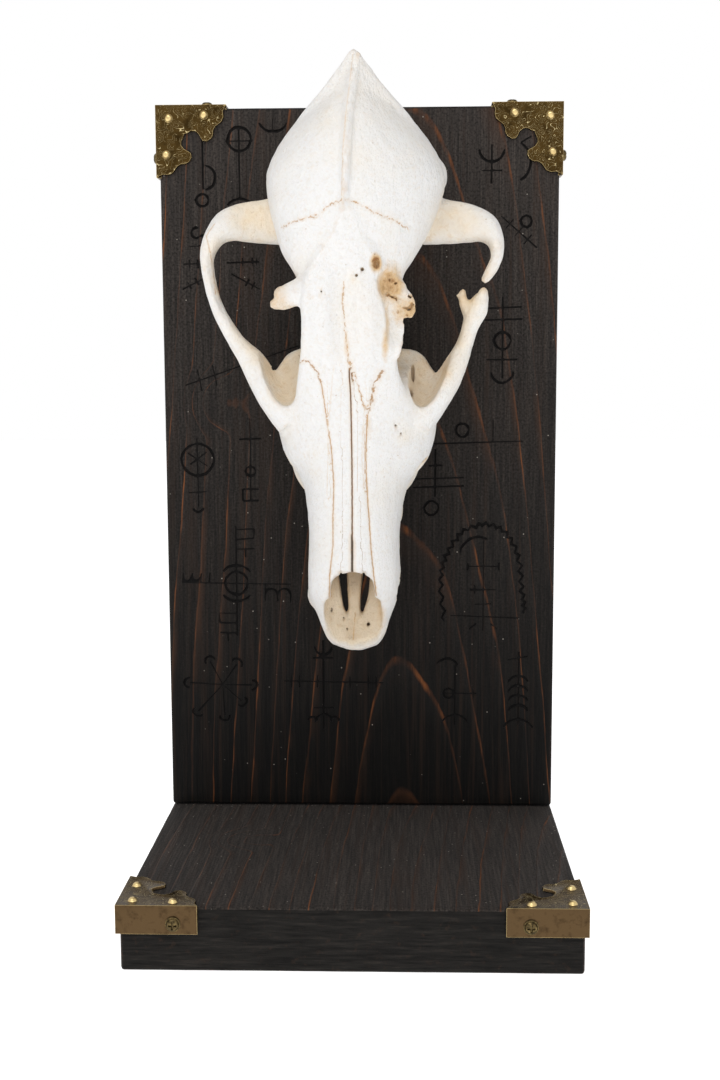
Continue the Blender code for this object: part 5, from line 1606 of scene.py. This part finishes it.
def rivet_head(place, finish):
    """A low domed nail head with a thin collar."""
    nothing_selected()
    bpy.ops.mesh.primitive_uv_sphere_add(segments=20, ring_count=12, radius=1.0, location=(0, 0, 0))
    head = bpy.context.object
    bpy.ops.object.mode_set(mode="EDIT")
    bpy.ops.mesh.select_all(action="SELECT")
    bpy.ops.mesh.bisect(plane_co=(0, 0, 0), plane_no=(0, 0, 1), use_fill=True, clear_inner=True)
    bpy.ops.mesh.select_all(action="SELECT")
    bpy.ops.transform.resize(value=(RIVET_RADIUS, RIVET_RADIUS, RIVET_RISE), center_override=(0, 0, 0))
    bpy.ops.object.mode_set(mode="OBJECT")
    # A collar wider by 18 %, and a crown hammered flatter
    for vert in head.data.vertices:
        if vert.co.z < RIVET_COLLAR:
            vert.co.x *= 1.18
            vert.co.y *= 1.18
        if vert.co.z > RIVET_CROWN:
            vert.co.z = RIVET_CROWN + (vert.co.z - RIVET_CROWN) * 0.4
    head.location = place
    settle(head, "rivet head")
    head.data.materials.append(finish)
    return head


def cross_screw(finish):
    """A domed screw head with a pressed collar and a cross recess, standing on the origin along Z."""
    nothing_selected()
    bpy.ops.mesh.primitive_cylinder_add(
        vertices=32, radius=SCREW_RADIUS, depth=SCREW_COLLAR, location=(0, 0, SCREW_COLLAR / 2),
    )
    head = settle(bpy.context.object, "cross screw")
    bpy.ops.object.mode_set(mode="EDIT")
    bpy.ops.mesh.select_mode(type="FACE")
    bpy.ops.mesh.select_all(action="DESELECT")
    bpy.ops.object.mode_set(mode="OBJECT")
    for face in head.data.polygons:
        face.select = face.normal.z > 0.9
    bpy.ops.object.mode_set(mode="EDIT")
    # The collar's ledge and three steps up the dome, each an inset and a rise in millimetres
    for inset, rise in ((0.32, 0.0), (0.12, 0.55), (0.38, 0.42), (0.5, 0.18)):
        bpy.ops.mesh.inset(thickness=inset * MM)
        bpy.ops.transform.translate(value=(0, 0, rise * MM))
    bpy.ops.object.mode_set(mode="OBJECT")
    for turn in (0, 90):
        nothing_selected()
        bpy.ops.mesh.primitive_cube_add(
            size=1, location=(0, 0, 1.5 * MM), rotation=(0, 0, math.radians(turn)), scale=RECESS_SIZE,
        )
        recess = settle(bpy.context.object, "recess")
        bpy.ops.object.mode_set(mode="EDIT")
        bpy.ops.mesh.select_all(action="SELECT")
        bpy.ops.mesh.bevel(offset=0.12 * MM, segments=1, affect="EDGES")
        bpy.ops.object.mode_set(mode="OBJECT")
        cut(head, recess)
    soft = head.modifiers.new("soft edges", "BEVEL")
    soft.width = 0.08 * MM
    soft.segments = 2
    soft.limit_method = "ANGLE"
    soft.angle_limit = math.radians(40)
    apply_all(head)
    head.data.materials.append(finish)
    return head


def corner_places():
    """Name, tip, two arms and face direction of each of the four corners, as in the solids."""
    right, up, front = Vector((1, 0, 0)), Vector((0, 0, 1)), Vector((0, -1, 0))
    half = BOARD_WIDTH / 2
    found = []
    for label, side in (("left", -1), ("right", 1)):
        high = Vector((side * half, UPRIGHT_FRONT, BOARD_THICKNESS + UPRIGHT_HEIGHT))
        low = Vector((side * half, -BASE_DEPTH / 2, BOARD_THICKNESS))
        found.append((f"corner_top_{label}", high, right * -side, -up, front))
        found.append((f"corner_front_{label}", low, right * -side, -front, up))
    return found


def standing(arm_a, arm_b, out, place):
    """The matrix that turns a piece's own X, Y and Z to these three ways, at that place."""
    turned = Matrix((arm_a, arm_b, out)).transposed().to_4x4()
    return Matrix.Translation(place) @ turned


def brass_corners():
    """The four corners and their eight screw heads, each copied from one model."""
    brass = antique_brass("brass sheet, stamped and darkened", "4E3C1E", "2C210F", scrolls=1.0)
    rubbed = antique_brass("brass edge, rubbed bright", "E2C990", "A88B58", scrolls=0.0)
    brushed = antique_brass("brass flange, brushed and browned", "57452F", "36291B", scrolls=0.0)
    model = stamped_corner((brass, rubbed, brushed))
    screw_model = cross_screw(blackened_steel())
    outside = FIT_GAP + CORNER_SHEET
    for name, tip, arm_a, arm_b, out in corner_places():
        right_handed = arm_a.cross(arm_b).dot(out) >= 0
        first, second = (arm_a, arm_b) if right_handed else (arm_b, arm_a)
        piece = copied(model, name + "_brass")
        spot = tip - (arm_a + arm_b) * outside + out * outside
        piece.data.transform(standing(first, second, out, spot))
        finished(piece, "antique_brass", name, angle=35)
        for letter, along, beside in (("a", arm_a, arm_b), ("b", arm_b, arm_a)):
            seat = tip + along * (SCREW_INSET - outside) - out * CORNER_FLANGE * 0.52 - beside * outside
            head = copied(screw_model, f"{name}_screw_head_{letter}")
            way = -beside
            head.data.transform(standing(along, way.cross(along), way, seat))
            finished(head, "dark_steel", f"{name}_screw_{letter}", angle=35)
    for spare in (model, screw_model):
        bpy.data.objects.remove(spare, do_unlink=True)


def pegs_finish():
    """The pegs stay as the solids have them and only take their wood."""
    finish = beech_dowel()
    for name in ("peg_upper", "peg_lower"):
        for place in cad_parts[name].material_slots:
            place.material = finish


def floor():
    """White paper that glows a little, so that it meets the white room without a horizon."""
    nothing_selected()
    bpy.ops.mesh.primitive_plane_add(size=6, location=(0, 0, -0.05 * MM))
    ground = bpy.context.object
    ground.name = "floor"
    material, tree, shader = new_finish(
        "white studio paper, matt",
        {"Roughness": 0.9, "Specular IOR Level": 0.1, "Emission Color": (1, 1, 1, 1),
         "Emission Strength": 0.9},
    )
    spot = add(tree, "TexCoord", {}, out=3)
    cloudy = add(tree, "TexNoise", {"Vector": spot, "Scale": 16.0, "Detail": 2.0})
    tone = add(tree, "ValToRGB", {0: cloudy}, stops=((0.3, "F4F4F4"), (0.7, "F8F8F8")))
    tree.links.new(tone, shader.inputs["Base Color"])
    ground.data.materials.append(material)


def light(name, place, aim, size, power):
    """A white panel of light, turned to what it is aimed at."""
    lamp = bpy.data.lights.new(name, "AREA")
    lamp.energy = power
    lamp.shape = "RECTANGLE"
    lamp.size, lamp.size_y = size
    made = bpy.data.objects.new(name, lamp)
    bpy.context.scene.collection.objects.link(made)
    made.location = place
    made.rotation_euler = (Vector(aim) - Vector(place)).to_track_quat("-Z", "Y").to_euler()


def studio():
    """Plain soft light: a panel above, one in front, a weaker one each side, and a white room."""
    # Each with its place, what it is aimed at, its size in metres and its watts
    middle = (0, 0, 0.15)
    light("top panel", (-0.12, -0.40, 0.92), middle, (0.6, 0.5), 2.8)
    light("front panel", (0.05, -1.0, 0.22), middle, (0.9, 0.8), 1.2)
    light("left panel", (-1.1, -0.7, 0.5), middle, (0.6, 1.0), 1.2)
    light("right panel", (1.1, -0.8, 0.4), middle, (0.6, 1.0), 0.8)
    world = bpy.data.worlds.new("white room")
    bpy.context.scene.world = world
    world.use_nodes = True
    tree = world.node_tree
    back = tree.nodes["Background"]
    back.inputs["Color"].default_value = (1, 1, 1, 1)
    # The camera sees the room white, polished metal sees three quarters of that, and the rest a third
    straight = add(tree, "LightPath", {})
    mirrored = add(tree, "Math", {0: straight.node.outputs["Is Glossy Ray"], 1: 0.75}, operation="MULTIPLY")
    seen = add(tree, "Math", {0: straight, 1: 0.32}, operation="MAXIMUM")
    seen = add(tree, "Math", {0: seen, 1: mirrored}, operation="MAXIMUM")
    tree.links.new(seen, back.inputs["Strength"])
    bpy.context.scene.view_settings.view_transform = "Standard"


def camera():
    """The photograph's view, worked out from the board's and the base's corners."""
    flat = math.cos(CAMERA_TILT)
    ahead = Vector((-math.sin(CAMERA_TURN) * flat, math.cos(CAMERA_TURN) * flat, -math.sin(CAMERA_TILT)))
    level = Vector((math.cos(CAMERA_TURN), math.sin(CAMERA_TURN), 0))
    above = level.cross(ahead)
    right = level * math.cos(CAMERA_ROLL) + above * math.sin(CAMERA_ROLL)
    top = above * math.cos(CAMERA_ROLL) - level * math.sin(CAMERA_ROLL)
    lens = bpy.data.cameras.new("camera")
    lens.lens = CAMERA_LENS
    lens.sensor_width = 36
    lens.sensor_fit = "AUTO"
    lens.clip_start = 0.02
    made = bpy.data.objects.new("camera", lens)
    bpy.context.scene.collection.objects.link(made)
    made.matrix_world = standing(right, top, -ahead, CAMERA_PLACE)
    bpy.context.scene.camera = made


camera()
studio()
floor()
boards()
brass_corners()
pegs_finish()
skull(bleached_bone())
